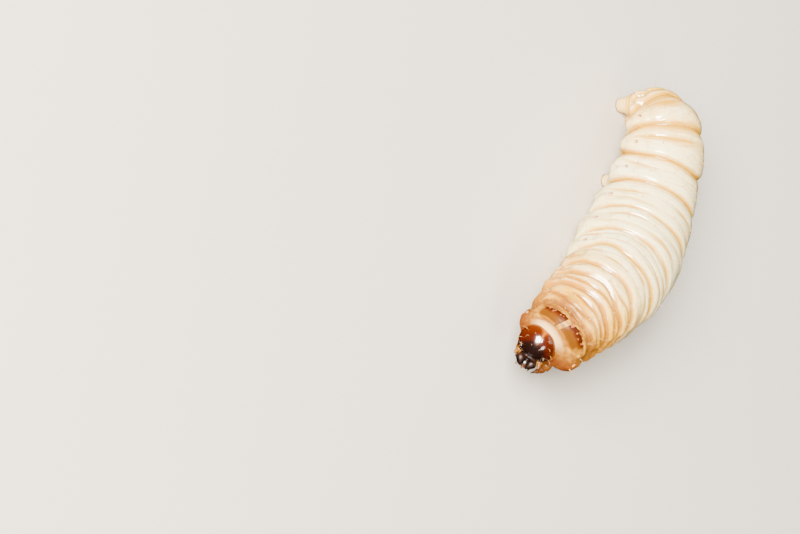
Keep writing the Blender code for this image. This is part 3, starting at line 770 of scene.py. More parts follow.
def toothed(side):
    """The rule for one jaw, which narrows, bends inwards and ends in teeth."""
    def rule(p):
        p, reach = p.copy(), np.maximum(0, p[..., 1])
        p[..., 0] = p[..., 0] * (1 - 0.45 * reach ** 2) - side * 0.55 * reach ** 2
        p[..., 1] += 0.12 * np.cos(p[..., 2] * 11) * reach ** 6
        return p
    return rule


lip = lump((0.0, 1.06, -0.04), (0.42, 0.14, 0.23), math.radians(25), notched)
labrum = add_piece("upper_lip", lip)
jaws = {}
for side, word in HEAD_SIDES:
    jaw = lump((0.31 * side, 1.02, -0.42), (0.25, 0.32, 0.23), math.radians(35), toothed(side))
    jaws[word] = add_piece("jaw_" + word, jaw)
PALP_RADII = (
    (0, 0.11), (0.28, 0.105), (0.31, 0.075), (0.55, 0.075), (0.58, 0.05), (0.85, 0.045),
    (0.97, 0.03), (1, 0.01),
)
SPINNERET = ((0, 0.76, -0.84), (0, 0.92, -0.92), (0, 1.05, -1.04))
PALP = ((0.31, 0.76, -0.82), (0.33, 0.94, -0.87), (0.34, 1.08, -0.96))
lower = [lump((0.0, 0.70, -0.84), (0.32, 0.32, 0.17), math.radians(30))]
lower.append(horn_tube(SPINNERET, PALP_RADII))
for side, _ in HEAD_SIDES:
    lower.append(lump((0.31 * side, 0.74, -0.80), (0.15, 0.26, 0.15), 0.0))
    lower.append(horn_tube(np.array(PALP) * (side, 1, 1), PALP_RADII))
labium = add_piece("lower_lip", *lower)
print("mouth pieces:", 2 + len(jaws))

# %% [markdown]
# ## Feelers
# The antennae are short three-jointed pegs beside the jaws, with a fine bristle at the tip. The
# same tapered tube makes them, because each joint is only a step in its radius.

# %% Jointed antennae
FEELER_RADII = (
    (0, 0.17), (0.30, 0.165), (0.40, 0.15), (0.42, 0.10), (0.66, 0.098), (0.70, 0.09),
    (0.72, 0.05), (0.86, 0.045), (0.88, 0.014), (1, 0.004),
)
FEELER = ((0.56, 0.60, -0.32), (0.65, 0.83, -0.37), (0.72, 1.04, -0.44))
feelers = {}
for side, word in HEAD_SIDES:
    grid = horn_tube(np.array(FEELER) * (side, 1, 1), FEELER_RADII)
    feelers[word] = add_piece("feeler_" + word, grid)
print("feelers:", len(feelers))

# %% [markdown]
# ## Plates on the neck and the tail
# Behind the head a thin horny shield lies on the first ring, split along the back. A smaller
# plate covers the tail. Such a plate could be a sheet with Solidify. It is made as a closed
# pillow here, thick in the middle and thin at its edges, so that it grows out of the skin
# without a step.

# %% Plates that lie on the skin
PLATE_ROWS, PLATE_COLUMNS = 40, 70
PLATE_SINK, PLATE_LIP, PLATE_RIM = 0.10, 0.002, 0.03


def plate_grid(first, last, front, rear, proud, thickness, corner_cut, lead):
    """A pillow over a patch of skin, as rows along the body of loops round the plate."""
    along, across = rows_of_shares(PLATE_ROWS, PLATE_COLUMNS), np.linspace(0, 1, PLATE_COLUMNS)
    angle = first + (last - first) * across + 0 * along
    corner = abs(2 * across - 1) ** 4 if first * last < 0 else abs(angle / last) ** 3
    wavy = 0.02 * np.sin(angle * 23 + 1) + 0.015 * np.sin(angle * 41)
    s = front + corner_cut * lead * corner + (rear - front - corner_cut * corner + wavy) * along
    edge = (1 - abs(2 * along - 1) ** 3) * (1 - abs(2 * across - 1) ** 6)
    level = relief_at((front + rear) / 2 + 0 * s, angle) - PLATE_SINK
    lift = np.maximum(0, level - relief_at(s, angle))
    top = on_skin(s, angle, lift + proud * edge ** 0.6 - PLATE_LIP)
    under = on_skin(s, angle, lift - PLATE_RIM - thickness * edge ** 0.5)
    values = [np.concatenate([one, one[:, ::-1]], 1) for one in (along, abs(angle))]
    return np.concatenate([top, under[:, ::-1]], 1), values


def add_plate(name, *plan):
    grid, (rearward, aside) = plate_grid(*plan)
    piece = add_piece(name, grid)
    keep_values(piece, rearward=with_ends(rearward), aside=with_ends(aside))
    return piece


# %% Two halves of the shield and the plate of the tail
SHIELD_INNER, SHIELD_OUTER, TAIL_PLATE_REACH = (math.radians(angle) for angle in (5, 62, 42))
# front, rear, height above the skin, thickness, cut of the corners and its share in front
SHIELD_PLAN = (0.08, 0.78, 0.035, 0.12, 0.36, 0.80)
TAIL_PLAN = (RING_ENDS[-2] + 0.30, RING_ENDS[-2] + 0.72, 0.03, 0.08, 0.25, 0.35)
shields = {}
for side, word in BODY_SIDES:
    reach = side * SHIELD_INNER, side * SHIELD_OUTER
    shields[word] = add_plate("shield_plate_" + word, *reach, *SHIELD_PLAN)
tail_plate = add_plate("tail_plate", -TAIL_PLATE_REACH, TAIL_PLATE_REACH, *TAIL_PLAN)
print("plates:", len(shields) + 1)

# %% [markdown]
# ## Jointed legs
# Each of the three chest rings carries a pair of short legs: hip, thigh, shin and foot, each
# thinner than the one before, with a soft fold at every joint and one dark claw at the end. A
# leg could be four separate tubes. One loft whose radius dips at the joints keeps it whole.

# %% Legs with joints and claws
LEG_ANGLE = math.radians(148)
LEG_KNEE, LEG_TIP = (0.52, 0.12, 0.10), (0.66, -0.22, 0.72)
LEG_PROFILE = (
    (0, 0.34), (0.22, 0.33), (0.30, 0.30), (0.335, 0.25), (0.36, 0.27), (0.48, 0.275),
    (0.57, 0.24), (0.60, 0.18), (0.63, 0.20), (0.74, 0.19), (0.81, 0.155), (0.835, 0.11),
    (0.86, 0.125), (0.93, 0.10), (0.965, 0.07), (1.0, 0.05),
)
LEG_ROWS, LEG_COLUMNS = 90, 32
CLAW_PROFILE, CLAW_ROWS, CLAW_COLUMNS = ((0, 0.055), (0.5, 0.04), (1, 0.004)), 14, 12
CLAW_ROOT, CLAW_BEND, CLAW_REACH, CLAW_HOOK = 0.06, 0.14, 0.16, 0.12


def leg_grids(ring, side):
    """The grids of one leg and its claw."""
    s = (RING_ENDS[ring] + RING_ENDS[ring + 1]) / 2
    middle, left, up, tailward = body_frame(s)
    surface = on_body(s, side * LEG_ANGLE, smooth_radius(s, side * LEG_ANGLE))
    root = surface + unit(middle - surface) * LEG_ROOT_SINK
    axes = np.stack([-up, left * side, -tailward])
    knee, tip = surface + np.array(LEG_KNEE) @ axes, surface + np.array(LEG_TIP) @ axes
    leg = loft(root, knee, tip, LEG_PROFILE, False, LEG_ROWS, LEG_COLUMNS)
    heading = unit(tip - knee)
    down = unit(-up - heading * float(-up @ heading))
    claw_tip = tip + heading * CLAW_REACH + down * CLAW_HOOK
    claw_line = tip - heading * CLAW_ROOT, tip + heading * CLAW_BEND, claw_tip
    return leg, loft(*claw_line, CLAW_PROFILE, False, CLAW_ROWS, CLAW_COLUMNS)


legs = {}
for ring in range(CHEST_RINGS):
    for side, word in BODY_SIDES:
        leg, claw = leg_grids(ring, side)
        piece = add_piece(f"thorax_leg_{word}_{ring + 1}", leg, claw)
        share = with_ends(rows_of_shares(LEG_ROWS, LEG_COLUMNS))
        claw_points = len(piece.data.vertices) - len(share)
        keep_values(
            piece, outward=np.concatenate([share, np.ones(claw_points)]),
            claw=np.repeat((0, 1), (len(share), claw_points)),
        )
        legs[word, ring + 1] = piece
print("legs:", len(legs))

# %% [markdown]
# ## Breathing holes, hooks, hairs
# A horny oval rim frames the breathing hole on each side of nine rings. The flat soles are
# edged with tiny hooks that grip silk. Long fine bristles stand in fixed places on every ring,
# each in a small amber socket. All of these are real solids, since a particle system wouldn't
# survive the export.

# %% Breathing holes
SPIRACLE_ANGLE, SPIRACLE_SHARE = math.radians(91), 0.40
SPIRACLE_RINGS = (0, 3, 4, 5, 6, 7, 8, 9, 10)
SPIRACLE_RADIUS, SPIRACLE_COLUMNS, SPIRACLE_STRETCH = 0.085, 28, 1.45
SPIRACLE_PROFILE = (
    (0.08, -0.25), (0.5, -0.15), (0.72, 0.22), (0.86, 0.34), (1.0, 0.28), (1.12, 0.05),
    (1.15, -0.6), (0.5, -0.9),
)


def skin_spot(s, angle):
    """A point on the skin, its outward and its tailward direction."""
    _, left, up, tailward = body_frame(s)
    return on_skin(s, angle), left * math.sin(angle) + up * math.cos(angle), tailward


holes = []
for ring in SPIRACLE_RINGS:
    for side in (1, -1):
        spot = skin_spot(RING_ENDS[ring] + SPIRACLE_SHARE * LENGTHS[ring], side * SPIRACLE_ANGLE)
        plan = (SPIRACLE_RADIUS, SPIRACLE_COLUMNS, SPIRACLE_STRETCH)
        holes.append(turned(SPIRACLE_PROFILE, *spot, *plan))
spiracles = add_piece("breathing_holes", *holes)
print("breathing holes:", len(holes))

# %% Hooks round the soles
HOOKS_PER_SOLE, HOOK_COLUMNS, LONG_HOOK, SHORT_HOOK = 28, 6, 1.0, 0.7
HOOK_LINE = ((0.26, 0.10), (0.315, 0.075), (0.345, 0.055), (0.36, 0.03), (0.345, 0.012))
HOOK_RADII, HOOK_SWELL = np.array((0.012, 0.017, 0.015, 0.011, 0.003)), 0.01


def hook_grids(sole):
    """The hooks round one sole, short and long in turn."""
    hooks = []
    for count in range(HOOKS_PER_SOLE):
        turn = 2 * math.pi * (count + chance.uniform(-0.2, 0.2)) / HOOKS_PER_SOLE
        out = np.array((math.cos(turn), math.sin(turn), 0))
        size = LONG_HOOK if count % 2 else SHORT_HOOK
        line = np.array([out * reach + (0, 0, height) for reach, height in HOOK_LINE])
        line[2] += out * HOOK_SWELL * size
        along = unit(np.gradient(line, axis=0))
        side = np.cross(out, (0, 0, 1.0)) + 0 * along
        radius = HOOK_RADII[:, None] * size
        hooks.append(sole + swept(line, side, np.cross(along, side), radius, HOOK_COLUMNS))
    return hooks


hooks = add_piece("sole_hooks", *[hook for *_, sole in FEET for hook in hook_grids(sole)])
print("hooks:", HOOKS_PER_SOLE * len(FEET))

# %% Bristles by degrees round the body, share of the ring and length, and their sockets
BRISTLE_PLACES = (
    (14, 0.30, 0.75), (27, 0.60, 0.55), (52, 0.45, 0.85), (76, 0.62, 0.45), (101, 0.34, 0.75),
    (112, 0.55, 0.60), (130, 0.62, 0.70), (150, 0.35, 0.45),
)
HEAD_HAIRS = (
    (0.35, 0.30, 0.85, 0.5), (0.60, 0.45, 0.62, 0.45), (0.80, 0.10, 0.55, 0.6),
    (0.86, 0.42, 0.22, 0.4), (0.70, 0.70, 0.15, 0.35), (0.55, 0.78, -0.25, 0.35),
    (0.88, 0.20, -0.35, 0.45), (0.62, 0.40, -0.66, 0.4), (0.24, 0.74, 0.62, 0.2),
)
BRISTLE_RADIUS, BRISTLE_ROWS, BRISTLE_COLUMNS = 0.010, 9, 5
BRISTLE_BOW, BRISTLE_SWEEP, BRISTLE_SINK, BRISTLE_TIP = 0.22, 0.45, 0.04, 0.12
SHIELD_SPREAD, BEHIND_SHIELD, CHEST_SIZE = 60, 0.95, 0.75
PLACE_PLAY, TURN_PLAY = 0.04, 2.5
SOCKET_RADIUS, SOCKET_COLUMNS, FLOOR_CLEARANCE = 0.045, 12, 0.35
SOCKET_PROFILE = ((0.1, 0.32), (0.35, 0.30), (0.55, 0.16), (0.9, 0.08), (1.0, -0.3), (0.5, -0.6))


def bristle(root, out, sweep, length):
    """A fine hair that leaves the skin and bows over to one side."""
    share = np.linspace(0, 1, BRISTLE_ROWS)[:, None]
    rise = length * (share - BRISTLE_BOW * share ** 2) - BRISTLE_SINK
    line = root + out * rise + sweep * (length * BRISTLE_SWEEP * share ** 2)
    radius = BRISTLE_RADIUS * np.maximum(BRISTLE_TIP, 1 - share ** 1.5)
    return tapered(line, sweep + out * 0.3, radius, BRISTLE_COLUMNS)


hairs, sockets, hair_roots = [], [], []
for ring in range(len(RINGS)):
    for degrees, share, length in BRISTLE_PLACES:
        for side in (1, -1):
            if ring < 1 and degrees < SHIELD_SPREAD:
                share = BEHIND_SHIELD
            s = RING_ENDS[ring] + (share + chance.uniform(-PLACE_PLAY, PLACE_PLAY)) * LENGTHS[ring]
            angle = side * math.radians(degrees + chance.uniform(-TURN_PLAY, TURN_PLAY))
            root, out, tailward = skin_spot(s, angle)
            lean = tailward * chance.uniform(-0.2, 1.0)
            lean += np.cross(tailward, out) * chance.uniform(-0.5, 0.5)
            size = length * (CHEST_SIZE if ring < CHEST_RINGS else 1.0) * chance.uniform(0.85, 1.1)
            if root[2] > FLOOR_CLEARANCE:
                hairs.append(bristle(root, out, unit(lean), size))
                hair_roots.append((s, angle))
            socket = SOCKET_PROFILE, root, out, tailward, SOCKET_RADIUS, SOCKET_COLUMNS
            sockets.append(turned(*socket))
for x, y, z, length in HEAD_HAIRS:
    for side in (-1, 1):
        root, out, ahead = surface_spot((x * side, y, z))
        lean = unit(ahead + 0.4 * chance.uniform(-1, 1) * np.cross(out, ahead))
        hairs.append(bristle(root, out, lean, length))
        hair_roots.append((-1.0, side * math.acos(z)))
bristles = add_piece("bristles", *hairs)
hair_sockets = add_piece("bristle_sockets", *sockets)
print("bristles:", len(hairs), "sockets:", len(sockets))

# %% [markdown]
# ## Room for the bristles on a texture
# A finish that is baked needs a map from the mesh to a picture. An unwrapping tool is slow with
# so many small tubes, so each bristle gets a tiny patch of its own, laid out where its root
# stands on the skin.

# %% The bristles' map
HAIR_PATCH = 0.003


def lay_out_hairs(piece, roots, points_each):
    layer = piece.data.uv_layers.new(name="OFBake")
    indices = np.empty(len(piece.data.loops), int)
    piece.data.loops.foreach_get("vertex_index", indices)
    hair, local = indices // points_each, indices % points_each
    roots, row = np.array(roots), np.minimum(local // BRISTLE_COLUMNS, BRISTLE_ROWS)
    u = (roots[hair, 1] + math.pi) / (2 * math.pi)
    u += HAIR_PATCH * (local % BRISTLE_COLUMNS) / BRISTLE_COLUMNS
    v = (roots[hair, 0] + 1.5) / (BODY_LENGTH + 2) + HAIR_PATCH * row / BRISTLE_ROWS
    layer.data.foreach_set("uv", np.stack([u, v], -1).astype(np.float32).ravel())


lay_out_hairs(bristles, hair_roots, BRISTLE_ROWS * BRISTLE_COLUMNS + 2)
print("hairs laid out:", len(hair_roots))

# %% [markdown]
# ## Writing finishes as sums
# A finish mixes masks, such as how deep a point lies in a fold. Blender's maths nodes do that,
# but a chain of them is hard to read. The class below wraps a socket, so that a Python
# expression such as 1 - mask adds the nodes.

# %% A wrapped socket and a finish
class Level:
    """A socket of a shader node that can stand in a Python sum."""

    def __init__(self, finish, socket):
        self.finish, self.socket = finish, socket

    def maths(self, operation, *values):
        inputs = dict(enumerate(values))
        return self.finish.node("ShaderNodeMath", {"operation": operation}, inputs)

    def __add__(self, other):
        return self.maths("ADD", self, other)

    def __sub__(self, other):
        return self.maths("SUBTRACT", self, other)

    def __rsub__(self, other):
        return self.maths("SUBTRACT", other, self)

    def __mul__(self, other):
        return self.maths("MULTIPLY", self, other)

    def __abs__(self):
        return self.maths("ABSOLUTE", self)

    __radd__, __rmul__ = __add__, __mul__

    def between(self, low, high):
        """0 below low, 1 above high, and a soft step between them."""
        settings = {"interpolation_type": "SMOOTHSTEP"}
        inputs = {0: self, 1: low, 2: high, 3: 0.0, 4: 1.0}
        return self.finish.node("ShaderNodeMapRange", settings, inputs)


class Finish:
    """One procedural material with a glossy shader at its end."""

    def __init__(self, name, **constants):
        self.material = bpy.data.materials.new(name)
        self.material.use_nodes = True
        self.tree = self.material.node_tree
        self.shader = self.tree.nodes["Principled BSDF"]
        for socket, value in constants.items():
            self.shader.inputs[socket.replace("_", " ")].default_value = value

    def node(self, kind, settings=None, inputs=None, output=0):
        made = self.tree.nodes.new(kind)
        for name, value in (settings or {}).items():
            setattr(made, name, value)
        for name, value in (inputs or {}).items():
            if isinstance(value, Level):
                self.tree.links.new(value.socket, made.inputs[name])
            else:
                made.inputs[name].default_value = value
        return Level(self, made.outputs[output])

    def kept(self, name):
        """A value that the mesh keeps at its points."""
        return self.node("ShaderNodeAttribute", {"attribute_name": name}, output="Fac")

    def noise(self, scale, detail=2.0):
        inputs = {"Vector": self.node("ShaderNodeTexCoord", output="Object")}
        inputs |= {"Scale": scale, "Detail": detail}
        return self.node("ShaderNodeTexNoise", None, inputs)

    def blend(self, mask, one, other):
        """The first colour where the mask is 0, the other where it is 1."""
        one, other = (c if isinstance(c, Level) else (*c, 1) for c in (one, other))
        inputs = {0: mask, 6: one, 7: other}
        return self.node("ShaderNodeMix", {"data_type": "RGBA"}, inputs, output=2)

    def layered(self, ground, *layers):
        """A ground colour with others laid over it in turn, each through its own mask."""
        for mask, colour in layers:
            ground = self.blend(mask, ground, colour)
        return ground

    def feed(self, socket, value):
        self.tree.links.new(value.socket, self.shader.inputs[socket])

    def relief(self, height, distance, strength=0.5):
        """Turns a height into a bump of the given depth in millimetres."""
        inputs = {"Height": height, "Distance": distance * MM, "Strength": strength}
        self.feed("Normal", self.node("ShaderNodeBump", None, inputs))

    def lay_on(self, *pieces):
        for piece in pieces:
            piece.data.materials.clear()
            piece.data.materials.append(self.material)


# %% [markdown]
# ## Waxy skin
# The skin is thin wax-like leather over fat and gut: ivory, amber over the chest, and peach at
# the tail, with painted shade in tan in its folds, creases, grooves and fine lines. Light enters
# it and comes out beside, which needs subsurface scattering. The colour follows the kept values
# of each point, so the painted shade lies in the folds and nowhere else, and a fine bump carries
# the grain that is too small for the mesh. A colour is the share of red, green and blue light
# that a surface gives back. The default view pales strong colours, so the painted shade and the
# amber are given deeper here, with hardly any blue.

# %% Skin finish: the masks
waxy = Finish(
    "waxy_skin", Subsurface_Weight=0.45, Subsurface_Radius=(1.0, 0.60, 0.14),
    Subsurface_Scale=0.0005, Coat_IOR=1.75, Coat_Roughness=0.19, Specular_IOR_Level=0.2,
)
station, crease, valley, foot = map(waxy.kept, ("station", "crease", "valley", "foot"))
back, side = waxy.kept("back"), waxy.kept("side")
cloud, fine_cloud = waxy.noise(420.0, 3.0), waxy.noise(2600.0)
round_body = {"X": station * 2.4, "Y": back * 1.3, "Z": side * 1.3}
round_body = waxy.node("ShaderNodeCombineXYZ", None, round_body)
grain = {"Vector": round_body, "Scale": 3.0, "Detail": 4.0, "Roughness": 0.6}
grain = waxy.node("ShaderNodeTexNoise", None, grain)
line = 1 - (abs(grain - 0.5) * 14.0).between(0.0, 1.0)
neck = 1 - (station + cloud * 1.4 - 0.7).between(0.9, 2.6)
chest = 1 - (station + cloud * 2.8 - 1.4 + back * 0.8 - 0.4).between(1.6, 6.5)
rear = (station + cloud * 3.0 - 1.5).between(12.0, 19.5)
flank = (0.78 - back).between(0.0, 0.8)
# How deep each point lies in the folds, which sets the painted shade there.
fold_shade_mask = valley * (0.62 + chest * 0.40 + rear * 0.25) + (cloud - 0.5) * 0.35
fold_shade_mask = (fold_shade_mask + crease * 0.75 + chest * 0.14).between(0.10, 0.85)
speck = waxy.noise(5200.0, 1.0).between(0.70, 0.76) * waxy.noise(900.0, 1.0).between(0.45, 0.6)
print("nodes of the skin's masks:", len(waxy.tree.nodes))

# %% Skin finish: the neck's colours, with painted shade and painted light
collar = station + cloud * 0.12 - 0.06
throat = (0.9 - station).between(0.0, 0.6) * (0.35 - back).between(0.0, 0.5)
# A pale band on the rim's crest, only on its upper side: pale skin with painted light on it.
pale_rim_and_light = collar.between(-0.22, -0.10) * (1 - collar.between(0.0, 0.18)) * back.between(0.35, 0.95)
neck_veins = (grain * 0.6 + cloud * 0.4).between(0.40, 0.62)
neck_colour = waxy.layered(
    waxy.blend(neck_veins, (0.17, 0.056, 0.0007), (0.60, 0.290, 0.020)),
    # Painted shade inside the roll, where the collar closes round the head.
    (1 - collar.between(-0.15, 0.25), (0.18, 0.045, 0.0008)),
    ((0.70 - back).between(0.0, 0.9) * 0.85, (0.16, 0.049, 0.0006)),
    (throat * 0.9, (0.14, 0.028, 0.0005)),
    (pale_rim_and_light * 0.8, (0.80, 0.52, 0.22)),
    # Painted shade in the neck's folds.
    (valley * 0.8, (0.20, 0.060, 0.001)),
)
print("with the neck's colours:", len(waxy.tree.nodes))

# %% Skin finish: the body's colours, painted fold shade, coat, roughness and grain
ivory = waxy.layered(
    waxy.blend(chest, (0.96, 0.83, 0.46), (0.92, 0.50, 0.012)),
    (rear * 0.7, (0.90, 0.54, 0.12)),
    ((cloud - 0.45).between(0.0, 0.3) * 0.5, (0.97, 0.92, 0.68)),
    (chest * flank * 0.9, (0.42, 0.155, 0.0012)),
)
# Painted shade: a tan for the folds and a deeper one for the creases and wrinkle troughs.
painted_fold_shade = waxy.blend(chest, (0.66, 0.34, 0.014), (0.44, 0.165, 0.0012))
painted_crease_shade = waxy.blend(chest, (0.38, 0.155, 0.003), (0.28, 0.098, 0.0005))
skin_colour = waxy.layered(
    ivory,
    # The folds, creases and the grain's fine lines get painted shade.
    (fold_shade_mask, painted_fold_shade),
    (crease.between(0.10, 0.80) * 0.85, painted_crease_shade),
    (line * (0.26 + valley * 0.35 + chest * 0.2), painted_fold_shade),
    (neck, neck_colour),
    (foot.between(0.55, 1.0) * 0.5, (0.60, 0.30, 0.06)),
    (speck * 0.5, (0.30, 0.12, 0.03)),
)
waxy.feed("Base Color", skin_colour)
waxy.feed("Coat Weight", 1 - neck * 0.60 - chest * 0.32)
waxy.feed("Roughness", 0.30 + valley * 0.12 + fine_cloud * 0.12 + neck * 0.2)
waxy.relief(grain + fine_cloud * 0.35 + waxy.noise(7000.0) * 0.2, 0.022, 0.6)
waxy.lay_on(skin)
print("skin finish nodes:", len(waxy.tree.nodes))

# %% [markdown]
# ## Chestnut head
# The head's horn is clear amber where it is thin and nearly black where it is thick, towards
# the jaws. Its polish gives small hard highlights. The rear of the crown, the groove over it
# and the underside are the clearest parts, so they are painted amber, and the dark of the
# mouth is laid over all.

# %% Head finish
chestnut = Finish(
    "chestnut_head", Roughness=0.22, Coat_Weight=1.0, Coat_Roughness=0.05, Coat_IOR=1.6,
    Specular_IOR_Level=0.35,
)
across, ahead, above = map(chestnut.kept, ("across", "ahead", "above"))
wide, mottle = abs(across), chestnut.noise(2300.0, 3.0)
forward = ahead + (mottle - 0.5) * 0.2
vertex = (1 - (wide + ahead * 0.55).between(0.03, 0.30)) * above.between(0.2, 0.6)
seam = 1 - (wide - 0.01).between(0.0, 0.055)
seam = seam * above.between(0.1, 0.4) * (1 - ahead.between(0.60, 0.80))
under = (0.05 - above).between(0.0, 0.5) * (1 - ahead.between(0.2, 0.6))
horn = chestnut.layered(
    (0.11, 0.019, 0.0007),
    (forward.between(-0.35, 0.45), (0.048, 0.005, 0.0004)),
    (forward.between(0.30, 0.75) * 0.8, (0.030, 0.003, 0.0006)),
    (vertex * 0.8, (0.30, 0.085, 0.004)),
    (seam * 0.8, (0.32, 0.095, 0.004)),
    ((ahead + (mottle - 0.5) * 0.15).between(0.56, 0.80), (0.006, 0.002, 0.0014)),
    (under * 0.9, (0.26, 0.065, 0.003)),
)
chestnut.feed("Base Color", horn)
chestnut.relief(chestnut.noise(5200.0), 0.003)
chestnut.lay_on(head)
print("head finish nodes:", len(chestnut.tree.nodes))

# %% [markdown]
# ## Small parts of horn
# Jaws, lips, eyes, rims and hairs are too small to show more than a drift between two colours,
# so one recipe serves them: a noise, a soft step in it, and the colours on its two sides.

# %% Mottled finishes
def mottled(name, pieces, noise, step, colours, **constants):
    """A finish that drifts between two colours, and the noise that it drifts with."""
    finish = Finish(name, **constants)
    drift = finish.noise(*noise)
    finish.feed("Base Color", finish.blend(drift.between(*step), *colours))
    finish.lay_on(*pieces)
    return finish, drift


black, drift = mottled(
    "black_horn", (labrum, *jaws.values(), hooks), (2600.0, 3.0), (0.4, 0.75),
    ((0.004, 0.002, 0.0015), (0.030, 0.007, 0.002)),
    Coat_Weight=0.2, Coat_Roughness=0.35, Specular_IOR_Level=0.12,
)
black.feed("Roughness", 0.25 + drift * 0.3)
black.relief(black.noise(6000.0), 0.008)
umber, _ = mottled(
    "dark_lip_horn", (labium,), (3000.0, 3.0), (0.35, 0.7),
    ((0.012, 0.004, 0.0015), (0.09, 0.028, 0.006)),
    Roughness=0.3, Coat_Weight=0.7, Coat_Roughness=0.1,
)
umber.relief(umber.noise(6000.0), 0.008)
tail_horn, drift = mottled(
    "tail_plate_horn", (tail_plate,), (2600.0, 3.0), (0.45, 0.65),
    ((0.72, 0.42, 0.12), (0.40, 0.16, 0.03)),
    Roughness=0.34, Coat_Weight=0.5, Coat_Roughness=0.1,
)
tail_horn.relief(drift, 0.015)
mottled(
    "eye_glass", eyes.values(), (3000.0,), (0.4, 0.7),
    ((0.003, 0.002, 0.002), (0.012, 0.004, 0.002)),
    Roughness=0.12, Coat_Weight=1.0, Coat_Roughness=0.02,
)
mottled(
    "spiracle_rim", (spiracles,), (3000.0,), (0.4, 0.6),
    ((0.50, 0.22, 0.04), (0.30, 0.10, 0.015)),
    Roughness=0.35, Coat_Weight=0.5, Coat_Roughness=0.1,
)
mottled(
    "socket_horn", (hair_sockets,), (900.0,), (0.4, 0.6),
    ((0.72, 0.42, 0.12), (0.60, 0.30, 0.07)),
    Roughness=0.35, Coat_Weight=0.4, Coat_Roughness=0.1,
)
mottled(
    "bristle_hair", (bristles,), (500.0,), (0.4, 0.6),
    ((0.62, 0.36, 0.12), (0.45, 0.22, 0.06)),
    Roughness=0.35, Specular_IOR_Level=0.6,
)
print("finishes so far, with the frame's:", len(bpy.data.materials))

# %% [markdown]
# ## Straw and amber horn
# The legs and feelers are thin straw-coloured horn, darker towards the claw. The neck plates
# are amber glass in front and dark, warty horn along the rear edge, and at their outer ends
# they fade into the skin. Both are thin enough to let a little light in.

# %% Straw horn of the legs and feelers
straw = Finish(
    "straw_horn", Subsurface_Weight=0.2, Subsurface_Radius=(0.8, 0.4, 0.15),
    Subsurface_Scale=0.0003, Specular_IOR_Level=0.25, Coat_Weight=0.5, Coat_Roughness=0.12,
)
drift = straw.noise(2400.0, 3.0)
tint = straw.layered(
    (0.17, 0.055, 0.002),
    (straw.kept("outward").between(0.2, 0.95), (0.09, 0.022, 0.0010)),
    (drift.between(0.5, 0.8) * 0.4, (0.22, 0.06, 0.006)),
    (straw.kept("claw"), (0.02, 0.005, 0.002)),
)
straw.feed("Base Color", tint)
straw.feed("Roughness", 0.28 + drift * 0.2)
straw.relief(straw.noise(6000.0), 0.01)
straw.lay_on(*legs.values(), *feelers.values())

# %% Amber plates
amber = Finish(
    "amber_plate", Subsurface_Weight=0.05, Subsurface_Radius=(0.8, 0.4, 0.1),
    Subsurface_Scale=0.0003, Specular_IOR_Level=0.05, Coat_Weight=0.06, Coat_Roughness=0.20,
)
rearward, spots, warts = amber.kept("rearward"), amber.noise(3600.0), amber.noise(6200.0, 1.0)
outer_end = (amber.kept("aside") + (spots - 0.5) * 0.4).between(0.80, 1.05)
band = (rearward + (spots - 0.5) * 0.5).between(0.52, 0.78) * (1 - outer_end)
wavy_rearward = rearward + (spots - 0.5) * 0.25
plate_colour = amber.layered(
    (0.24, 0.088, 0.0008),
    (wavy_rearward.between(0.0, 0.14), (0.100, 0.030, 0.0001)),
    (wavy_rearward.between(0.42, 0.68), (0.080, 0.016, 0.0002)),
    (band, (0.040, 0.006, 0.0006)),
    (outer_end, (0.34, 0.150, 0.008)),
    (warts.between(0.56, 0.66) * rearward.between(0.55, 0.8), (0.30, 0.09, 0.03)),
)
amber.feed("Base Color", plate_colour)
amber.feed("Roughness", 0.35 + spots * 0.25)
amber.relief(spots * 0.6 + warts * 0.4 * band, 0.02, 0.6)
amber.lay_on(*shields.values())
print("finishes, with the frame's:", len(bpy.data.materials))

# %% [markdown]
# ## Riding on the frame
# Every piece rides on the model's one body and stands in for the solids that it replaces. Its
# finish slot from the record is listed beside it, but not set here.

# %% Rides, replacements and slots
flesh = [name for name, _, _ in RINGS]
flesh += [f"proleg_{word}_{number}" for number in (3, 4, 5, 6) for word in ("left", "right")]
flesh += ["anal_proleg_left", "anal_proleg_right"]
STANDS_FOR = [
    (skin, flesh, "skin"),
    (head, ["head"], "head_horn"),
    (labrum, ["labrum"], "dark_horn"),
    (labium, ["labium"], "head_horn"),
    (tail_plate, ["anal_plate"], "pale_horn"),
    (spiracles, [], "pale_horn"),
    (hooks, [], "dark_horn"),
    (bristles, [], "pale_horn"),
    (hair_sockets, [], "pale_horn"),
]
for word in ("left", "right"):
    STANDS_FOR.append((eyes[word], ["eyes_" + word], "dark_horn"))
    STANDS_FOR.append((jaws[word], ["mandible_" + word], "dark_horn"))
    STANDS_FOR.append((feelers[word], ["antenna_" + word], "pale_horn"))
    STANDS_FOR.append((shields[word], ["shield_" + word], "neck_plates"))
    for number in (1, 2, 3):
        STANDS_FOR.append((legs[word, number], [f"leg_{word}_{number}"], "pale_horn"))
for piece, nodes, slot in STANDS_FOR:
    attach(piece, "root")
    if nodes:
        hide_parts(*nodes)
print("pieces:", len(STANDS_FOR), "nodes replaced:", sum(len(nodes) for _, nodes, _ in STANDS_FOR))

# %% [markdown]
# ## Floor, light and camera
# A museum case has a plain pale floor and soft light. A warm lamp near the camera gives the
# highlights on the rings and the head, a small one beside it gives the second spark on the
# head, and a broad dim one above lights the back. Floor and world light the larva but aren't
# mirrored in its gloss, which would veil the colours. The lens stands where the photograph was
# taken from, turned with the larva because the larva stands on the floor.

# %% Floor
FLOOR_HALF = 0.6


def paint(red, green, blue):
    """A colour as a display shows it, from 0 to 255, turned into the share of light."""
    return tuple(((c / 255 + 0.055) / 1.055) ** 2.4 for c in (red, green, blue))


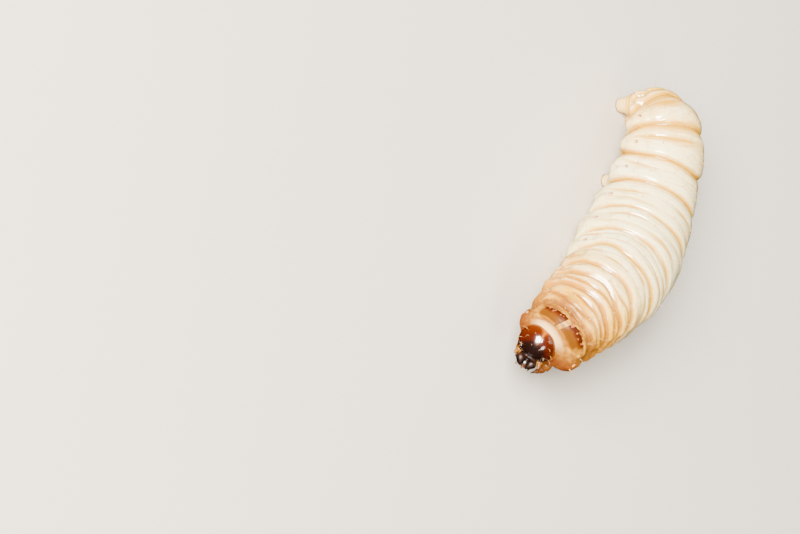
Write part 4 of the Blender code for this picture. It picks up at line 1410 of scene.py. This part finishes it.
floor_data = bpy.data.meshes.new("floor")
corners = [(x * FLOOR_HALF, y * FLOOR_HALF, 0) for x, y in ((-1, -1), (1, -1), (1, 1), (-1, 1))]
floor_data.from_pydata(corners, [], [(0, 1, 2, 3)])
floor = bpy.data.objects.new("floor", floor_data)
bpy.context.scene.collection.objects.link(floor)
floor.visible_glossy = False
paper = Finish("pale_floor", Roughness=0.7)
cream_to_white = paper.blend(paper.noise(60.0, 3.0), paint(206, 199, 188), paint(212, 206, 196))
paper.feed("Base Color", cream_to_white)
paper.lay_on(floor)

# %% Camera
EYE = np.array((-145.542, -79.502, 115.346))
VIEW_RIGHT = np.array((0.508, 0.298, 0.8081))
VIEW_UP = np.array((-0.5014, 0.8652, -0.0039))
VIEW_BACK = np.array((-0.7004, -0.4032, 0.589))
SENSOR, LENS, CLIP_START = 36.0, 184.5, 0.001


def stand_at(thing, place, right, up, back):
    """Places a camera or lamp by its place and its own three directions, in body coordinates."""
    turn = Matrix((right, up, back)).transposed().to_4x4()
    thing.matrix_world = Matrix.Translation(Vector((place + SHIFT) * MM)) @ turn


view = bpy.data.cameras.new("view")
view.sensor_width, view.lens, view.clip_start = SENSOR, LENS, CLIP_START
camera = bpy.data.objects.new("view", view)
bpy.context.scene.collection.objects.link(camera)
stand_at(camera, EYE, VIEW_RIGHT, VIEW_UP, VIEW_BACK)
bpy.context.scene.camera = camera
print("camera at", ((EYE + SHIFT) * MM).round(4))


# %% Lamps, each by its direction in the camera's axes, distance, size and watts
WARM, LAMP_TARGET, WORLD_STRENGTH = (1.0, 0.94, 0.84), np.array((4.0, 6.0, 2.0)), 0.28
LAMPS = {
    "key": (-0.06, 0.20, 1.0, 260, 112, 5.0),
    "spark": (0.34, -0.53, 0.78, 260, 60, 0.3),
    "top": (1.0, 0.15, 0.3, 320, 260, 0.5),
}
for name, (right, up, back, distance, size, watts) in LAMPS.items():
    out = unit(VIEW_RIGHT * right + VIEW_UP * up + VIEW_BACK * back)
    across = unit(np.cross(VIEW_UP, out))
    data = bpy.data.lights.new(name, "AREA")
    data.size, data.energy, data.color = size * MM, watts, WARM
    lamp = bpy.data.objects.new(name, data)
    bpy.context.scene.collection.objects.link(lamp)
    stand_at(lamp, LAMP_TARGET + out * distance, across, np.cross(out, across), out)
world = bpy.data.worlds.new("studio")
bpy.context.scene.world = world
world.cycles_visibility.glossy = False
world.use_nodes = True
background = world.node_tree.nodes["Background"].inputs
background["Color"].default_value = (1, 1, 1, 1)
background["Strength"].default_value = WORLD_STRENGTH
print("lamps:", len(LAMPS))
